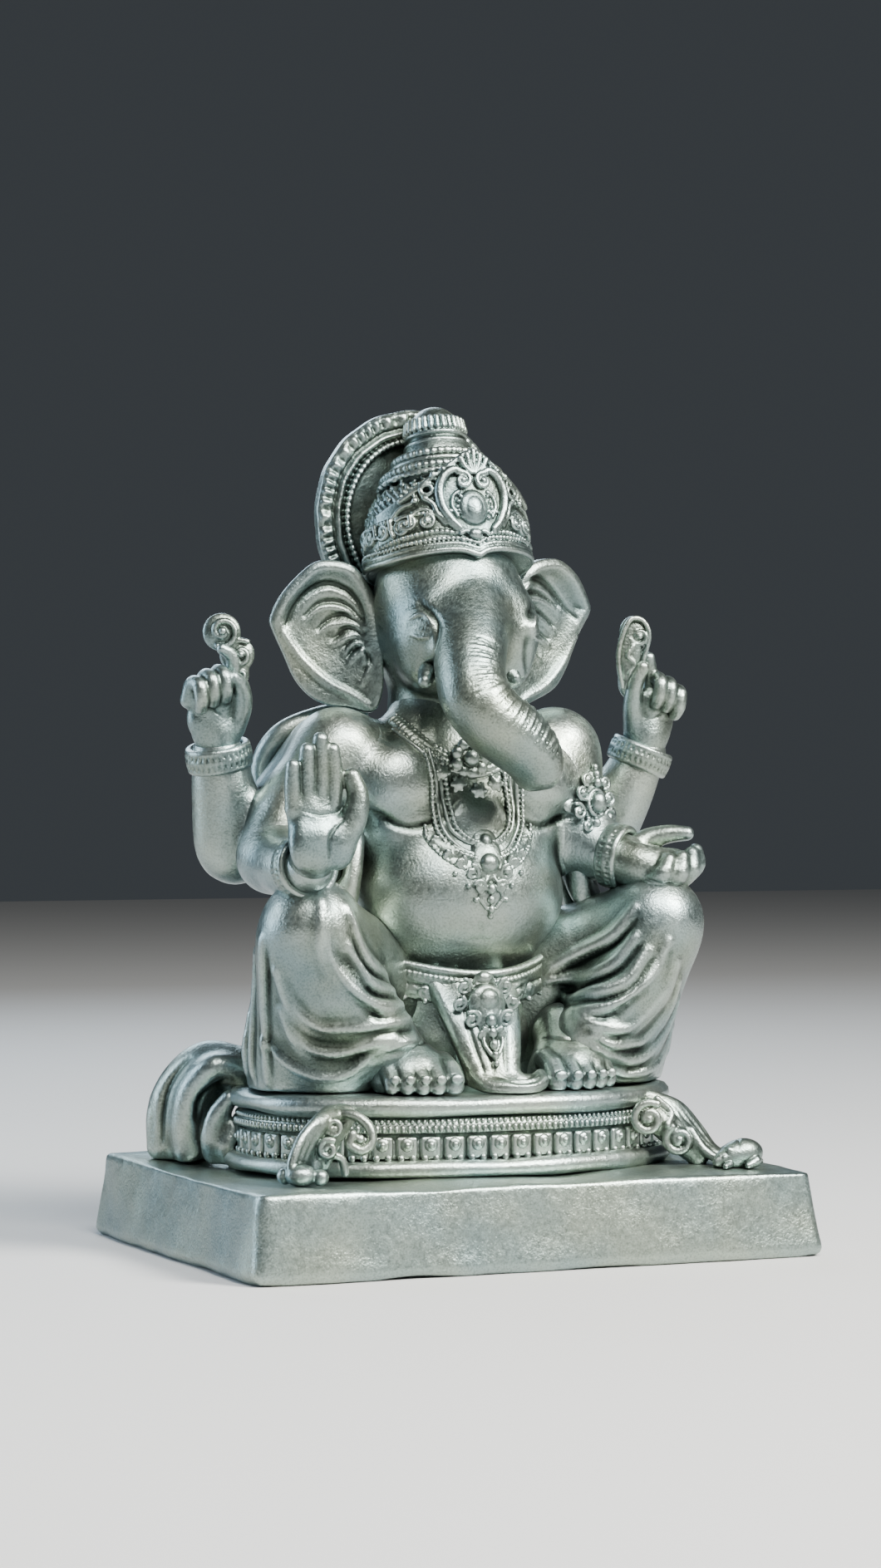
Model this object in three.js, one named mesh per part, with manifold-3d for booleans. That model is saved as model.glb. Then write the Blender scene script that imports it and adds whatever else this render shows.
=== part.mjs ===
// Seated elephant-headed Ganesha idol, a table-top devotional figure.
// Millimetres, +Z up. The idol faces -Y, its right side is -X, and the origin is the centre of
// the slab's underside. Every piece is a closed solid in its own named mesh.
import * as THREE from 'three';
import { ConvexGeometry } from 'three/addons/geometries/ConvexGeometry.js';
import { mergeVertices } from 'three/addons/utils/BufferGeometryUtils.js';
import Module from 'manifold-3d';

const wasm = await Module();
wasm.setup();

// ---- driving dimensions -------------------------------------------------------------------
const GAP = 0.3; // clearance between touching pieces

const SLAB_WIDTH = 180;
const SLAB_DEPTH = 141;
const SLAB_HEIGHT = 25;
const SLAB_CORNER = 6; // plan radius of the slab's corners
const SLAB_TAPER = 3; // how far each side leans in towards the top
const SLAB_EDGE = 5; // rounding of the bottom edge

const SEAT_WIDTH = 138; // lip of the oval seat, widest level
const SEAT_DEPTH = 94;
const LIP_HEIGHT = 5;
const FRIEZE_HEIGHT = 7.5;
const MOULDING_HEIGHT = 4.5;
const PLATE_HEIGHT = 6.5;
const FRIEZE_INSET = 3.5; // how far each level steps in from the lip
const MOULDING_INSET = 1.5;
const PLATE_INSET = 1;

const BELLY_RADII = [31, 22, 23];
const BELLY_HEIGHT = 55.5; // belly centre above the seat
const CHEST_RADII = [36, 20, 24];
const CHEST_HEIGHT = 89;
const SHOULDER_HALF_WIDTH = 40;
const SHOULDER_HEIGHT = 98;
const NECK_RADIUS = 14;
const HEAD_RADII = [23, 20, 26];
const HEAD_HEIGHT = 139.5;
const NECK_TOP = HEAD_HEIGHT - 23.5; // the neck reaches up into the head
const TRUNK_RADIUS = 9.5;
const EAR_THICKNESS = 4.6;
const CROWN_WIDTH = 50; // across the crown band
const CROWN_DEPTH = 44;
const CROWN_LEAN = 14; // degrees the crown leans back
const CREST_HEIGHT = 29; // crest's peak above the crown's floor
const BAND_HEIGHT = 12;
const HALO_WIDTH = 62;
const HALO_HEIGHT = 67;
const HALO_SHIFT = -4.5; // halo's centre, towards the idol's right
const HALO_THICKNESS = 5;

const KNEE_HALF_SPREAD = 56;
const KNEE_RADIUS = 13.5;
const KNEE_HEIGHT = 49.5;
const FOOT_SPREAD = 25; // foot centre from the middle
const WRIST_RADIUS = 6.5;
const BANGLE_THICKNESS = 2.4; // radius of a bangle's section

// ---- levels that follow from them ---------------------------------------------------------
const LIP_TOP = SLAB_HEIGHT + LIP_HEIGHT;
const FRIEZE_TOP = LIP_TOP + FRIEZE_HEIGHT;
const MOULDING_TOP = FRIEZE_TOP + MOULDING_HEIGHT;
const SEAT_TOP = MOULDING_TOP + PLATE_HEIGHT;
const CROWN_FLOOR = HEAD_HEIGHT + 16; // middle of the crown band's lower edge, above the seat

// ---- solids -------------------------------------------------------------------------------
function toSolid(geometry) {
  geometry.deleteAttribute('normal');
  geometry.deleteAttribute('uv');
  const merged = mergeVertices(geometry, 1e-4);
  return new wasm.Manifold(new wasm.Mesh({
    numProp: 3,
    vertProperties: new Float32Array(merged.attributes.position.array),
    triVerts: new Uint32Array(merged.index.array),
  }));
}

function toGeometry(solid) {
  const mesh = solid.getMesh();
  const geometry = new THREE.BufferGeometry();
  geometry.setAttribute('position', new THREE.BufferAttribute(mesh.vertProperties.slice(), 3));
  geometry.setIndex(new THREE.BufferAttribute(mesh.triVerts.slice(), 1));
  geometry.computeVertexNormals();
  return geometry;
}

const join = (solids) => solids.reduce((whole, next) => whole.add(next));

// An ellipsoid centred at (x, y) and `height` above the seat, larger all over by `grow`.
function ball([x, y, height], [rx, ry, rz], grow, around = 12, down = 8) {
  const geometry = new THREE.SphereGeometry(1, around, down);
  geometry.rotateX(Math.PI / 2);
  geometry.scale(rx + grow, ry + grow, rz + grow);
  geometry.translate(x, y, SEAT_TOP + height);
  return toSolid(geometry);
}

// The tight skin round several spheres [x, y, height above the seat, radius].
function skin(spheres, grow, around = 7, down = 4) {
  const points = [];
  for (const [x, y, height, radius] of spheres) {
    const sphere = new THREE.SphereGeometry(radius + grow, around, down);
    sphere.rotateX(Math.PI / 2);
    const position = sphere.attributes.position;
    for (let i = 0; i < position.count; i += 1) {
      const point = new THREE.Vector3().fromBufferAttribute(position, i);
      points.push(point.add(new THREE.Vector3(x, y, SEAT_TOP + height)));
    }
  }
  return toSolid(new ConvexGeometry(points));
}

// A chain of tapered limbs through the listed spheres.
function chain(spheres, grow, around = 7, down = 4) {
  const links = [];
  for (let i = 1; i < spheres.length; i += 1) {
    links.push(skin([spheres[i - 1], spheres[i]], grow, around, down));
  }
  return join(links);
}

const mirrored = (side, spheres) => spheres.map(([x, ...rest]) => [side * x, ...rest]);

// An oval plate between two levels, with its rims bevelled.
function oval(width, depth, low, high, bevel, grow, around = 36) {
  const outer = depth / 2 + grow;
  const bottom = low - grow;
  const top = high + grow;
  const profile = [
    [0, bottom], [outer - bevel, bottom], [outer, bottom + bevel],
    [outer, top - bevel], [outer - bevel, top], [0, top],
  ].map(([radius, level]) => new THREE.Vector2(radius, level));
  const geometry = new THREE.LatheGeometry(profile, around);
  geometry.rotateX(Math.PI / 2);
  geometry.scale((width / 2 + grow) / outer, 1, 1);
  return toSolid(geometry);
}

// A ring of round section whose middle is at a point and whose axis has a given direction.
function ring([x, y, height], axis, radius, section, grow, flatten = 1) {
  const geometry = new THREE.TorusGeometry(radius, section + grow, 5, 14);
  geometry.scale(1, flatten, 1);
  const turn = new THREE.Quaternion().setFromUnitVectors(
    new THREE.Vector3(0, 0, 1), new THREE.Vector3(...axis).normalize());
  geometry.applyQuaternion(turn);
  geometry.translate(x, y, SEAT_TOP + height);
  return toSolid(geometry);
}

// ---- slab and seat ------------------------------------------------------------------------
function slab(grow) {
  const levels = [
    [0, SLAB_EDGE * 0.8], [SLAB_EDGE * 0.4, SLAB_EDGE * 0.2], [SLAB_EDGE, 0],
    [SLAB_HEIGHT - 1.5, SLAB_TAPER - 0.4], [SLAB_HEIGHT, SLAB_TAPER + 1],
  ];
  const steps = 4;
  const points = [];
  for (const [level, inset] of levels) {
    for (const [sx, sy] of [[1, 1], [-1, 1], [-1, -1], [1, -1]]) {
      for (let i = 0; i <= steps; i += 1) {
        const angle = (Math.PI / 2) * (i / steps);
        const x = SLAB_WIDTH / 2 - inset - SLAB_CORNER * (1 - Math.cos(angle));
        const y = SLAB_DEPTH / 2 - inset - SLAB_CORNER * (1 - Math.sin(angle));
        const z = level + (level > 0 ? grow : 0);
        points.push(new THREE.Vector3(sx * x, sy * y, z));
      }
    }
  }
  return toSolid(new ConvexGeometry(points));
}

const seatLevel = (inset, low, high, bevel) => (grow) => oval(
  SEAT_WIDTH - 2 * inset, SEAT_DEPTH - 2 * inset, low + GAP, high, bevel, grow);

// A leaf bracket that spills over the seat's edge and curls out on to the slab.
function scrollFoot(side, grow) {
  const x = SEAT_WIDTH / 2 - 19;
  const y = -SEAT_DEPTH / 2 + 9;
  const plateEdge = -PLATE_HEIGHT;
  const ground = SLAB_HEIGHT - SEAT_TOP + GAP;
  return join([
    chain(mirrored(side, [
      [x, y, plateEdge, 4.5], [x + 8, y - 4, plateEdge - 4, 5], [x + 14, y - 4, ground + 7, 4],
      [x + 17, y - 4, ground + 3.2, 3],
    ]), grow),
    chain(mirrored(side, [[x, y, plateEdge, 4.5], [x - 6, y - 4, plateEdge - 6, 4.5]]), grow),
  ]);
}

// The end of the seat cloth that spreads on the slab at the idol's right, towards the back.
function seatCloth(grow) {
  const ground = SLAB_HEIGHT - SEAT_TOP + GAP;
  const edge = -SEAT_WIDTH / 2;
  return join([
    skin([
      [edge - 4, 20, ground + 4, 4], [edge - 11, 42, ground + 4, 4], [edge + 14, 50, ground + 4, 4],
      [edge + 8, 24, 2, 4], [edge - 3, 38, ground + 20, 6], [edge + 22, 44, 2, 6],
    ], grow),
    skin([[edge + 8, 24, 2, 4], [edge + 22, 44, 2, 6], [edge + 24, 26, 4, 4]], grow),
  ]);
}

function mouse(grow) {
  const ground = SLAB_HEIGHT - SEAT_TOP + GAP;
  const x = SEAT_WIDTH / 2 + 2;
  return join([
    ball([x, -50, ground + 4.4], [6.5, 4.8, 4.4], grow),
    ball([x - 7, -51, ground + 3.2], [4, 3.2, 3.2], grow),
  ]);
}

// ---- figure -------------------------------------------------------------------------------
const belly = (grow) => ball([0, -4, BELLY_HEIGHT], BELLY_RADII, grow, 14, 10);
const chest = (grow) => ball([0, -1, CHEST_HEIGHT], CHEST_RADII, grow, 10, 6);

function torso(grow) {
  const breasts = [-1, 1].map((side) => ball(
    [side * CHEST_RADII[0] * 0.5, -12, CHEST_HEIGHT], [14, 10, 12], grow));
  const shoulder = [SHOULDER_HALF_WIDTH - 6, 3, SHOULDER_HEIGHT, 11];
  return join([
    belly(grow), chest(grow), ...breasts,
    skin([shoulder, [-shoulder[0], ...shoulder.slice(1)]], grow),
    skin([[0, 2, SHOULDER_HEIGHT + 2, NECK_RADIUS + 4], [0, 0, NECK_TOP, NECK_RADIUS]], grow),
    skin([[-14, 9, 26, 16], [14, 9, 26, 16], [-16, 6, CHEST_HEIGHT, 15], [16, 6, CHEST_HEIGHT, 15]], grow),
    ball([0, 2, 24], [28, 20, 20], grow),
  ]);
}

function head(grow) {
  const face = -HEAD_RADII[1];
  return join([
    ball([0, -1, HEAD_HEIGHT], HEAD_RADII, grow, 16, 10),
    ball([0, 6, HEAD_HEIGHT - 8], [20, 14, 18], grow),
    chain([
      [0, face + 6, HEAD_HEIGHT + 3, TRUNK_RADIUS + 4], [-4, face - 9, HEAD_HEIGHT - 8, TRUNK_RADIUS + 1.5],
      [-8, face - 17, HEAD_HEIGHT - 20, TRUNK_RADIUS + 0.5], [-7, face - 20, HEAD_HEIGHT - 29, TRUNK_RADIUS],
      [0, face - 21, HEAD_HEIGHT - 33, TRUNK_RADIUS - 0.5],
      [7, face - 21, HEAD_HEIGHT - 36, TRUNK_RADIUS - 1],
      [10, face - 20, HEAD_HEIGHT - 43, TRUNK_RADIUS - 2],
    ], grow),
  ]);
}

const tusk = (side, grow) => chain(mirrored(side, [
  [12, -HEAD_RADII[1] + 6, HEAD_HEIGHT - 16, 2.8], [14, -HEAD_RADII[1] - 2, HEAD_HEIGHT - 22, 1.6],
]), grow);

function ear(side, grow) {
  const root = HEAD_RADII[0] - 3;
  const half = EAR_THICKNESS / 2;
  return skin(mirrored(side, [
    [root, 5, HEAD_HEIGHT + 18, half], [root + 10, 9, HEAD_HEIGHT + 22, half],
    [root + 23, 13, HEAD_HEIGHT + 17, half], [root + 31, 15.5, HEAD_HEIGHT + 4, half],
    [root + 30, 15, HEAD_HEIGHT - 8, half], [root + 22, 12, HEAD_HEIGHT - 20, half],
    [root + 8, 8, HEAD_HEIGHT - 27, half], [root - 2, 6, HEAD_HEIGHT - 14, half],
  ]), grow);
}

// ---- crown --------------------------------------------------------------------------------
const CROWN_PLACE = [0, 2, SEAT_TOP + CROWN_FLOOR];
const DOME_HEIGHT = BAND_HEIGHT + 20;
const DOME_NECK = 9.5; // radius where the finial meets the dome

// Everything on the crown is made upright round the middle of its floor, then leant back.
const lean = (solid) => solid
  .translate([0, 0, -SEAT_TOP])
  .rotate([-CROWN_LEAN, 0, 0])
  .translate(CROWN_PLACE);

const crownBand = (grow) => lean(oval(
  CROWN_WIDTH, CROWN_DEPTH, SEAT_TOP, SEAT_TOP + BAND_HEIGHT, 1.2, grow, 24));
const crownDome = (grow) => lean(join([
  ball([0, 0, BAND_HEIGHT], [CROWN_WIDTH / 2 - 1.5, CROWN_DEPTH / 2 - 1.5, 19], grow),
  skin([[0, 0, BAND_HEIGHT + 6, DOME_NECK + 4], [0, 0, DOME_HEIGHT - 5, DOME_NECK]], grow),
]));

function crownCrest(grow) {
  const front = -CROWN_DEPTH / 2;
  const shoulder = CREST_HEIGHT * 0.6;
  return lean(join([
    skin([
      [-21, front + 11, 2, 2.2], [-9, front, 0, 2.4], [-21, front + 11, shoulder - 3, 2],
      [-9, front + 1, CREST_HEIGHT - 6, 2], [0, front, CREST_HEIGHT, 1.6], [0, front - 1, 0, 2.4],
    ], grow),
    skin([
      [21, front + 11, 2, 2.2], [9, front, 0, 2.4], [21, front + 11, shoulder - 3, 2],
      [9, front + 1, CREST_HEIGHT - 6, 2], [0, front, CREST_HEIGHT, 1.6], [0, front - 1, 0, 2.4],
    ], grow),
  ]));
}

const crownFinial = (grow) => lean(join([
  skin([[0, 0, DOME_HEIGHT + 4, DOME_NECK], [0, 0, DOME_HEIGHT + 9, DOME_NECK]], grow),
  ball([0, 0, DOME_HEIGHT + 12], [8, 8, 7], grow),
]));

// A shallow dish standing behind the crown, its hollow towards the front.
function halo(grow) {
  const radius = HALO_WIDTH / 2 + grow;
  const half = HALO_THICKNESS / 2 + grow;
  const profile = [
    [0, half + 1], [radius * 0.8, half + 1], [radius, half - 1], [radius, -half],
    [radius * 0.86, -half - 1], [radius * 0.7, -half + 1.6], [0, -half + 3],
  ].map(([r, y]) => new THREE.Vector2(r, y));
  const geometry = new THREE.LatheGeometry(profile.reverse(), 28);
  geometry.scale(1, 1, (HALO_HEIGHT / 2 + grow) / radius);
  geometry.translate(HALO_SHIFT, 22, SEAT_TOP + CROWN_FLOOR + 14);
  return toSolid(geometry);
}

// ---- arms ---------------------------------------------------------------------------------
const FRONT_WRIST_RIGHT = [-58, -35, 67];
const FRONT_WRIST_LEFT = [49, -21, 67.5];
const FRONT_ELBOW_RIGHT = [-60, -8, 67];
const FRONT_ELBOW_LEFT = [49, -6, 69];
const REAR_WRIST = [70, 10.5, 99];
const REAR_ELBOWS = { right: [64, 17, 71], left: [57, 17, 72] };

const frontUpperArm = (side, elbow) => (grow) => chain([
  [side * SHOULDER_HALF_WIDTH, 0, SHOULDER_HEIGHT - 2, 12.5], [...elbow, 9.5]], grow);
const frontForearm = (elbow, wrist) => (grow) => chain([
  [...elbow, 9.5], [...wrist, WRIST_RADIUS]], grow);
const rearArm = (side, grow) => chain(mirrored(side, [
  [SHOULDER_HALF_WIDTH - 2, 16, SHOULDER_HEIGHT - 4, 11],
  [...(side < 0 ? REAR_ELBOWS.right : REAR_ELBOWS.left), 9.5],
  [...REAR_WRIST, WRIST_RADIUS],
]), grow);

function blessingHand(grow) {
  const [x, y, height] = FRONT_WRIST_RIGHT;
  return join([
    skin([[x, y, height, WRIST_RADIUS - 0.5], [x, y - 5, height + 4, 5.5]], grow),
    skin([
      [x - 5, y - 5, height + 4, 3.8], [x + 5, y - 5, height + 4, 3.8],
      [x - 6, y - 5, height + 19, 2.8], [x + 4, y - 5, height + 20, 2.8],
    ], grow),
    skin([
      [x - 6, y - 5, height + 19, 2.6], [x + 4, y - 5, height + 20, 2.6],
      [x - 4, y - 5, height + 32, 2], [x + 1, y - 5, height + 33, 2],
    ], grow),
    chain([[x + 5, y - 5, height + 8, 3.6], [x + 10, y - 6, height + 18, 2.8],
      [x + 8, y - 6, height + 25, 2.3]], grow),
  ]);
}

function offeringHand(grow) {
  const [x, y, height] = FRONT_WRIST_LEFT;
  return join([
    skin([[x, y, height, WRIST_RADIUS - 0.5], [x + 5, y - 2, height - 0.5, 5]], grow),
    skin([
      [x + 4, y - 6, height - 1, 3.8], [x + 5, y + 4, height - 1, 3.8],
      [x + 15, y - 8, height - 1, 3.2], [x + 16, y + 4, height - 1, 3.2],
    ], grow),
    skin([
      [x + 15, y - 8, height - 1, 3], [x + 16, y + 4, height - 1, 3],
      [x + 22, y - 9, height + 2, 2.2], [x + 23, y + 1, height + 2, 2.2],
    ], grow),
  ]);
}

function rearHand(side, grow) {
  const [x, y, height] = REAR_WRIST;
  return join([
    chain(mirrored(side, [[x, y, height, WRIST_RADIUS - 0.5], [x, y - 1, height + 11, 7.5]]), grow),
    skin(mirrored(side, [
      [x - 4, y - 6, height + 13, 4], [x + 6, y - 5, height + 13, 4],
      [x - 3, y - 5, height + 19, 3.6], [x + 5, y - 4, height + 19, 3.6],
    ]), grow),
    chain(mirrored(side, [[x - 3, y - 4, height + 18, 3], [x - 4, y - 4, height + 27, 2.4]]), grow),
  ]);
}

function attribute(side, grow) {
  const [x, y, height] = REAR_WRIST;
  return skin(mirrored(side, [
    [x - 6, y - 3, height + 23, 3], [x - 8, y - 3, height + 31, 4],
    [x - 3, y - 3, height + 38, 4],
  ]), grow);
}

const bangle = ([x, y, height], axis, reach) => (grow) => ring([
  x + axis[0] * reach, y + axis[1] * reach, height + axis[2] * reach,
], axis, WRIST_RADIUS + 0.8, BANGLE_THICKNESS, grow);

// A floral clasp on the outer front of the left upper arm.
function armlet(grow) {
  const [ex, ey, eh] = FRONT_ELBOW_LEFT;
  const middle = [
    (SHOULDER_HALF_WIDTH + ex) / 2, (ey - 2) / 2, (SHOULDER_HEIGHT - 2 + eh) / 2,
  ];
  return skin([
    [middle[0], middle[1] - 9, middle[2] + 7, 2.6], [middle[0] + 5, middle[1] - 8, middle[2], 2.6],
    [middle[0] - 5, middle[1] - 9, middle[2], 2.6], [middle[0] + 1, middle[1] - 9, middle[2] - 6, 2.6],
  ], grow);
}

// ---- legs and dress -----------------------------------------------------------------------
function leg(side, grow) {
  const knee = [KNEE_HALF_SPREAD, -27, KNEE_HEIGHT, KNEE_RADIUS];
  const hip = [24, 8, 20, 19];
  const ankle = [FOOT_SPREAD + 2, -25, 11, 8];
  const bottom = 2 + GAP;
  return join([
    skin(mirrored(side, [hip, knee]), grow),
    skin(mirrored(side, [knee, ankle, [KNEE_HALF_SPREAD, -16, bottom, 2]]), grow),
    skin(mirrored(side, [
      knee, [KNEE_HALF_SPREAD + 6, 4, bottom, 2], [KNEE_HALF_SPREAD, -18, bottom, 2],
      [26, -24, bottom, 2], [24, 24, bottom, 2], hip, [KNEE_HALF_SPREAD + 2, 12, 22, 5],
    ]), grow),
  ]);
}

function foot(side, grow) {
  return skin(mirrored(side, [
    [FOOT_SPREAD + 1, -24, 8, 6], [FOOT_SPREAD - 7, -38, 2.6 + GAP, 2.4],
    [FOOT_SPREAD + 7, -37, 2.6 + GAP, 2.4], [FOOT_SPREAD + 5, -26, 3.4 + GAP, 3],
    [FOOT_SPREAD - 5, -27, 3.4 + GAP, 3],
  ]), grow);
}

const frontSash = (grow) => skin([
  [-8, -20, 26, 2.4], [8, -20, 26, 2.4], [-7, -33, 3 + GAP, 2.4], [8, -34, 3 + GAP, 2.4],
  [-6, -20, 4, 2.4], [6, -20, 4, 2.4],
], grow);

const waistBelt = (grow) => oval(2 * BELLY_RADII[0] - 4, 2 * BELLY_RADII[1], SEAT_TOP + 27,
  SEAT_TOP + 33, 1.5, grow, 24).translate([0, -1, 0]);

const beltPendant = (grow) => skin([
  [-7, -22, 29, 2.2], [7, -22, 29, 2.2], [0, -24, 27, 3], [0, -23, 18, 1.8],
], grow);

const collar = (grow) => ring(
  [0, -7, SHOULDER_HEIGHT + 7], [0, -0.62, 0.78], NECK_RADIUS + 10, 2.2, grow, 0.95);

// A long strand that hangs from both sides of the neck and meets under the chest.
function longNecklace(grow) {
  const front = -CHEST_RADII[1];
  const half = [
    [19, -14, SHOULDER_HEIGHT - 2, 2.6], [14, front - 4.5, CHEST_HEIGHT, 2.6],
    [14, front - 2, CHEST_HEIGHT - 14, 2.6], [10, front - 4.5, CHEST_HEIGHT - 22, 2.6],
    [0, front - 6.5, CHEST_HEIGHT - 25, 2.6],
  ];
  return join([chain(half, grow), chain(mirrored(-1, half), grow)]);
}

const necklacePendant = (grow) => skin([
  [-6, -BELLY_RADII[1] - 5, BELLY_HEIGHT + 12, 2.6], [6, -BELLY_RADII[1] - 5, BELLY_HEIGHT + 12, 2.6],
  [0, -BELLY_RADII[1] - 5, BELLY_HEIGHT + 17, 2.6], [0, -BELLY_RADII[1] - 5, BELLY_HEIGHT + 2, 1.8],
], grow);

const shoulderCloth = (grow) => skin([
  [-46, 24, SHOULDER_HEIGHT - 6, 7], [-32, 24, SHOULDER_HEIGHT + 5, 6], [-16, 22, SHOULDER_HEIGHT + 8, 6],
  [-46, 22, SHOULDER_HEIGHT - 44, 6], [-24, 26, SHOULDER_HEIGHT - 60, 5],
], grow);

const sideCloth = (side, grow) => skin(mirrored(side, [
  [34, -8, SHOULDER_HEIGHT - 18, 4], [40, -10, SHOULDER_HEIGHT - 40, 5],
  [30, -2, SHOULDER_HEIGHT - 54, 6], [30, 4, SHOULDER_HEIGHT - 20, 4],
]), grow);

// ---- assembly -----------------------------------------------------------------------------
// Pieces are listed so that each one keeps clear of all those before it.
const SILVER = { color: 0x9fa9a4, roughness: 0.42, metalness: 0.85 };
const SIDES = [['right', -1], ['left', 1]];
const bothSides = (name, form) => SIDES.map(([word, side]) => [
  `${name}_${word}`, (grow) => form(side, grow)]);
const rearAxis = (side) => [side * 0.16, -0.2, 0.96];

const pieces = [
  ['base_slab', slab],
  ['seat_lip', seatLevel(0, SLAB_HEIGHT, LIP_TOP, 1.2)],
  ['seat_petal_frieze', seatLevel(FRIEZE_INSET, LIP_TOP, FRIEZE_TOP, 0.8)],
  ['seat_bead_moulding', seatLevel(MOULDING_INSET, FRIEZE_TOP, MOULDING_TOP, 1)],
  ['seat_top_plate', seatLevel(PLATE_INSET, MOULDING_TOP, SEAT_TOP, 2)],
  ['mouse', mouse],
  ...bothSides('scroll_foot', scrollFoot),
  ['seat_cloth', seatCloth],
  ...bothSides('foot', foot),
  ['halo', halo],
  ['head', head],
  ...bothSides('tusk', tusk),
  ['crown_band', crownBand],
  ['crown_dome', crownDome],
  ['crown_crest', crownCrest],
  ['crown_finial', crownFinial],
  ...bothSides('ear', ear),
  ['torso', torso],
  ['hand_front_right', blessingHand],
  ['hand_front_left', offeringHand],
  ...bothSides('hand_rear', rearHand),
  ...bothSides('attribute', attribute),
  ['forearm_front_right', frontForearm(FRONT_ELBOW_RIGHT, FRONT_WRIST_RIGHT)],
  ['forearm_front_left', frontForearm(FRONT_ELBOW_LEFT, FRONT_WRIST_LEFT)],
  ['upper_arm_front_right', frontUpperArm(-1, FRONT_ELBOW_RIGHT)],
  ['upper_arm_front_left', frontUpperArm(1, FRONT_ELBOW_LEFT)],
  ...bothSides('arm_rear', rearArm),
  ['bangle_front_right', bangle(FRONT_WRIST_RIGHT, [0.05, -0.95, 0.3], -1.5)],
  ['bangle_front_left', bangle(FRONT_WRIST_LEFT, [0.35, -0.9, -0.1], -2)],
  ['bangle_rear_right', bangle([-REAR_WRIST[0], REAR_WRIST[1], REAR_WRIST[2]], rearAxis(-1), 0)],
  ['bangle_rear_left', bangle(REAR_WRIST, rearAxis(1), 0)],
  ['waist_belt', waistBelt],
  ...bothSides('leg', leg),
  ['belt_pendant', beltPendant],
  ['front_sash', frontSash],
  ['necklace_pendant', necklacePendant],
  ['collar_necklace', collar],
  ['long_necklace', longNecklace],
  ['armlet_left', armlet],
  ['shoulder_cloth', shoulderCloth],
  ...bothSides('side_cloth', sideCloth),
];

const largestBody = (solid) => solid.decompose().reduce(
  (largest, body) => (body.volume() > largest.volume() ? body : largest));

const group = new THREE.Group();
const fences = [];
for (const [name, form] of pieces) {
  const cut = fences.reduce((solid, fence) => solid.subtract(fence), form(0));
  const mesh = new THREE.Mesh(toGeometry(largestBody(cut)), new THREE.MeshStandardMaterial(SILVER));
  mesh.name = name;
  group.add(mesh);
  fences.push(form(GAP));
}

export default group;
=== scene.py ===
"""Seated Ganesha idol: sculpted, silver-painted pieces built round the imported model."""
import math

import bmesh
import bpy
import numpy as np
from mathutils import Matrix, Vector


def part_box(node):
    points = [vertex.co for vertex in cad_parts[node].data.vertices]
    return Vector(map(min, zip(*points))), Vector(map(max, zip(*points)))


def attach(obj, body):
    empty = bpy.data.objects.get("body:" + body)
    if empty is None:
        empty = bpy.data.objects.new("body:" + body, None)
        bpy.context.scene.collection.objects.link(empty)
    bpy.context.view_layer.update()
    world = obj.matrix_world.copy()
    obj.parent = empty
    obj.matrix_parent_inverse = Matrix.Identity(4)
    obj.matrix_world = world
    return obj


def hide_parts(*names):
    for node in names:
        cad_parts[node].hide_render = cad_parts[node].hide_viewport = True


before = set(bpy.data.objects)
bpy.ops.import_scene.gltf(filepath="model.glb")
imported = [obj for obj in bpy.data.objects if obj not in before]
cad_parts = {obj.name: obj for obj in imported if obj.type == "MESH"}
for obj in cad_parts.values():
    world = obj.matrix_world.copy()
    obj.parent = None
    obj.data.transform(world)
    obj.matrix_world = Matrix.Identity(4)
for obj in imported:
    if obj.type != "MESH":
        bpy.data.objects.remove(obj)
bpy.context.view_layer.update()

import openvdb
from mathutils import Matrix, Vector, noise

bl_info = {
    "name": "Ganesha Idol",
    "version": (1, 0, 0),
    "blender": (4, 5, 0),
    "location": "View3D > Sidebar > Idol",
    "description": "Builds the sculpted pieces and paint of a seated Ganesha idol",
    "category": "Add Mesh",
}

MM = 0.001
COARSE = 1.3  # enlarges every voxel
FAR = 30.0  # distance given to clay that nothing has touched, mm
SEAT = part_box("seat_top_plate")[1].z / MM  # height of the seat's top, mm
SLAB_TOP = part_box("base_slab")[1].z / MM


# ---- clay: shapes as distance fields, in millimetres -----------------------------------------
def curve(points, step=1.0):
    """Points along a smooth curve through the given ones; any number of columns is carried."""
    points = np.array(points, float)
    if len(points) < 3:
        ends = np.linspace(0, 1, max(2, int(np.linalg.norm(points[1, :3] - points[0, :3]) / step) + 1))
        return points[0] + ends[:, None] * (points[1] - points[0])
    padded = np.vstack([2 * points[0] - points[1], points, 2 * points[-1] - points[-2]])
    found = []
    for i in range(1, len(padded) - 2):
        a, b, c, d = padded[i - 1:i + 3]
        count = max(2, int(np.linalg.norm(c[:3] - b[:3]) / step))
        t = np.linspace(0, 1, count, endpoint=False)[:, None]
        found.append(0.5 * (2 * b + (c - a) * t + (2 * a - 5 * b + 4 * c - d) * t ** 2
                            + (3 * b - a - 3 * c + d) * t ** 3))
    return np.vstack([*found, padded[-2:-1]])


def soft_min(a, b, k):
    """The smaller of two distances, blended over k mm."""
    if k <= 0:
        return np.minimum(a, b)
    h = np.clip(0.5 + 0.5 * (b - a) / k, 0, 1)
    return b + (a - b) * h - k * h * (1 - h)


def turn(axis, degrees):
    """A rotation matrix about X, Y or Z."""
    return np.array(Matrix.Rotation(math.radians(degrees), 3, axis))


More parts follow.
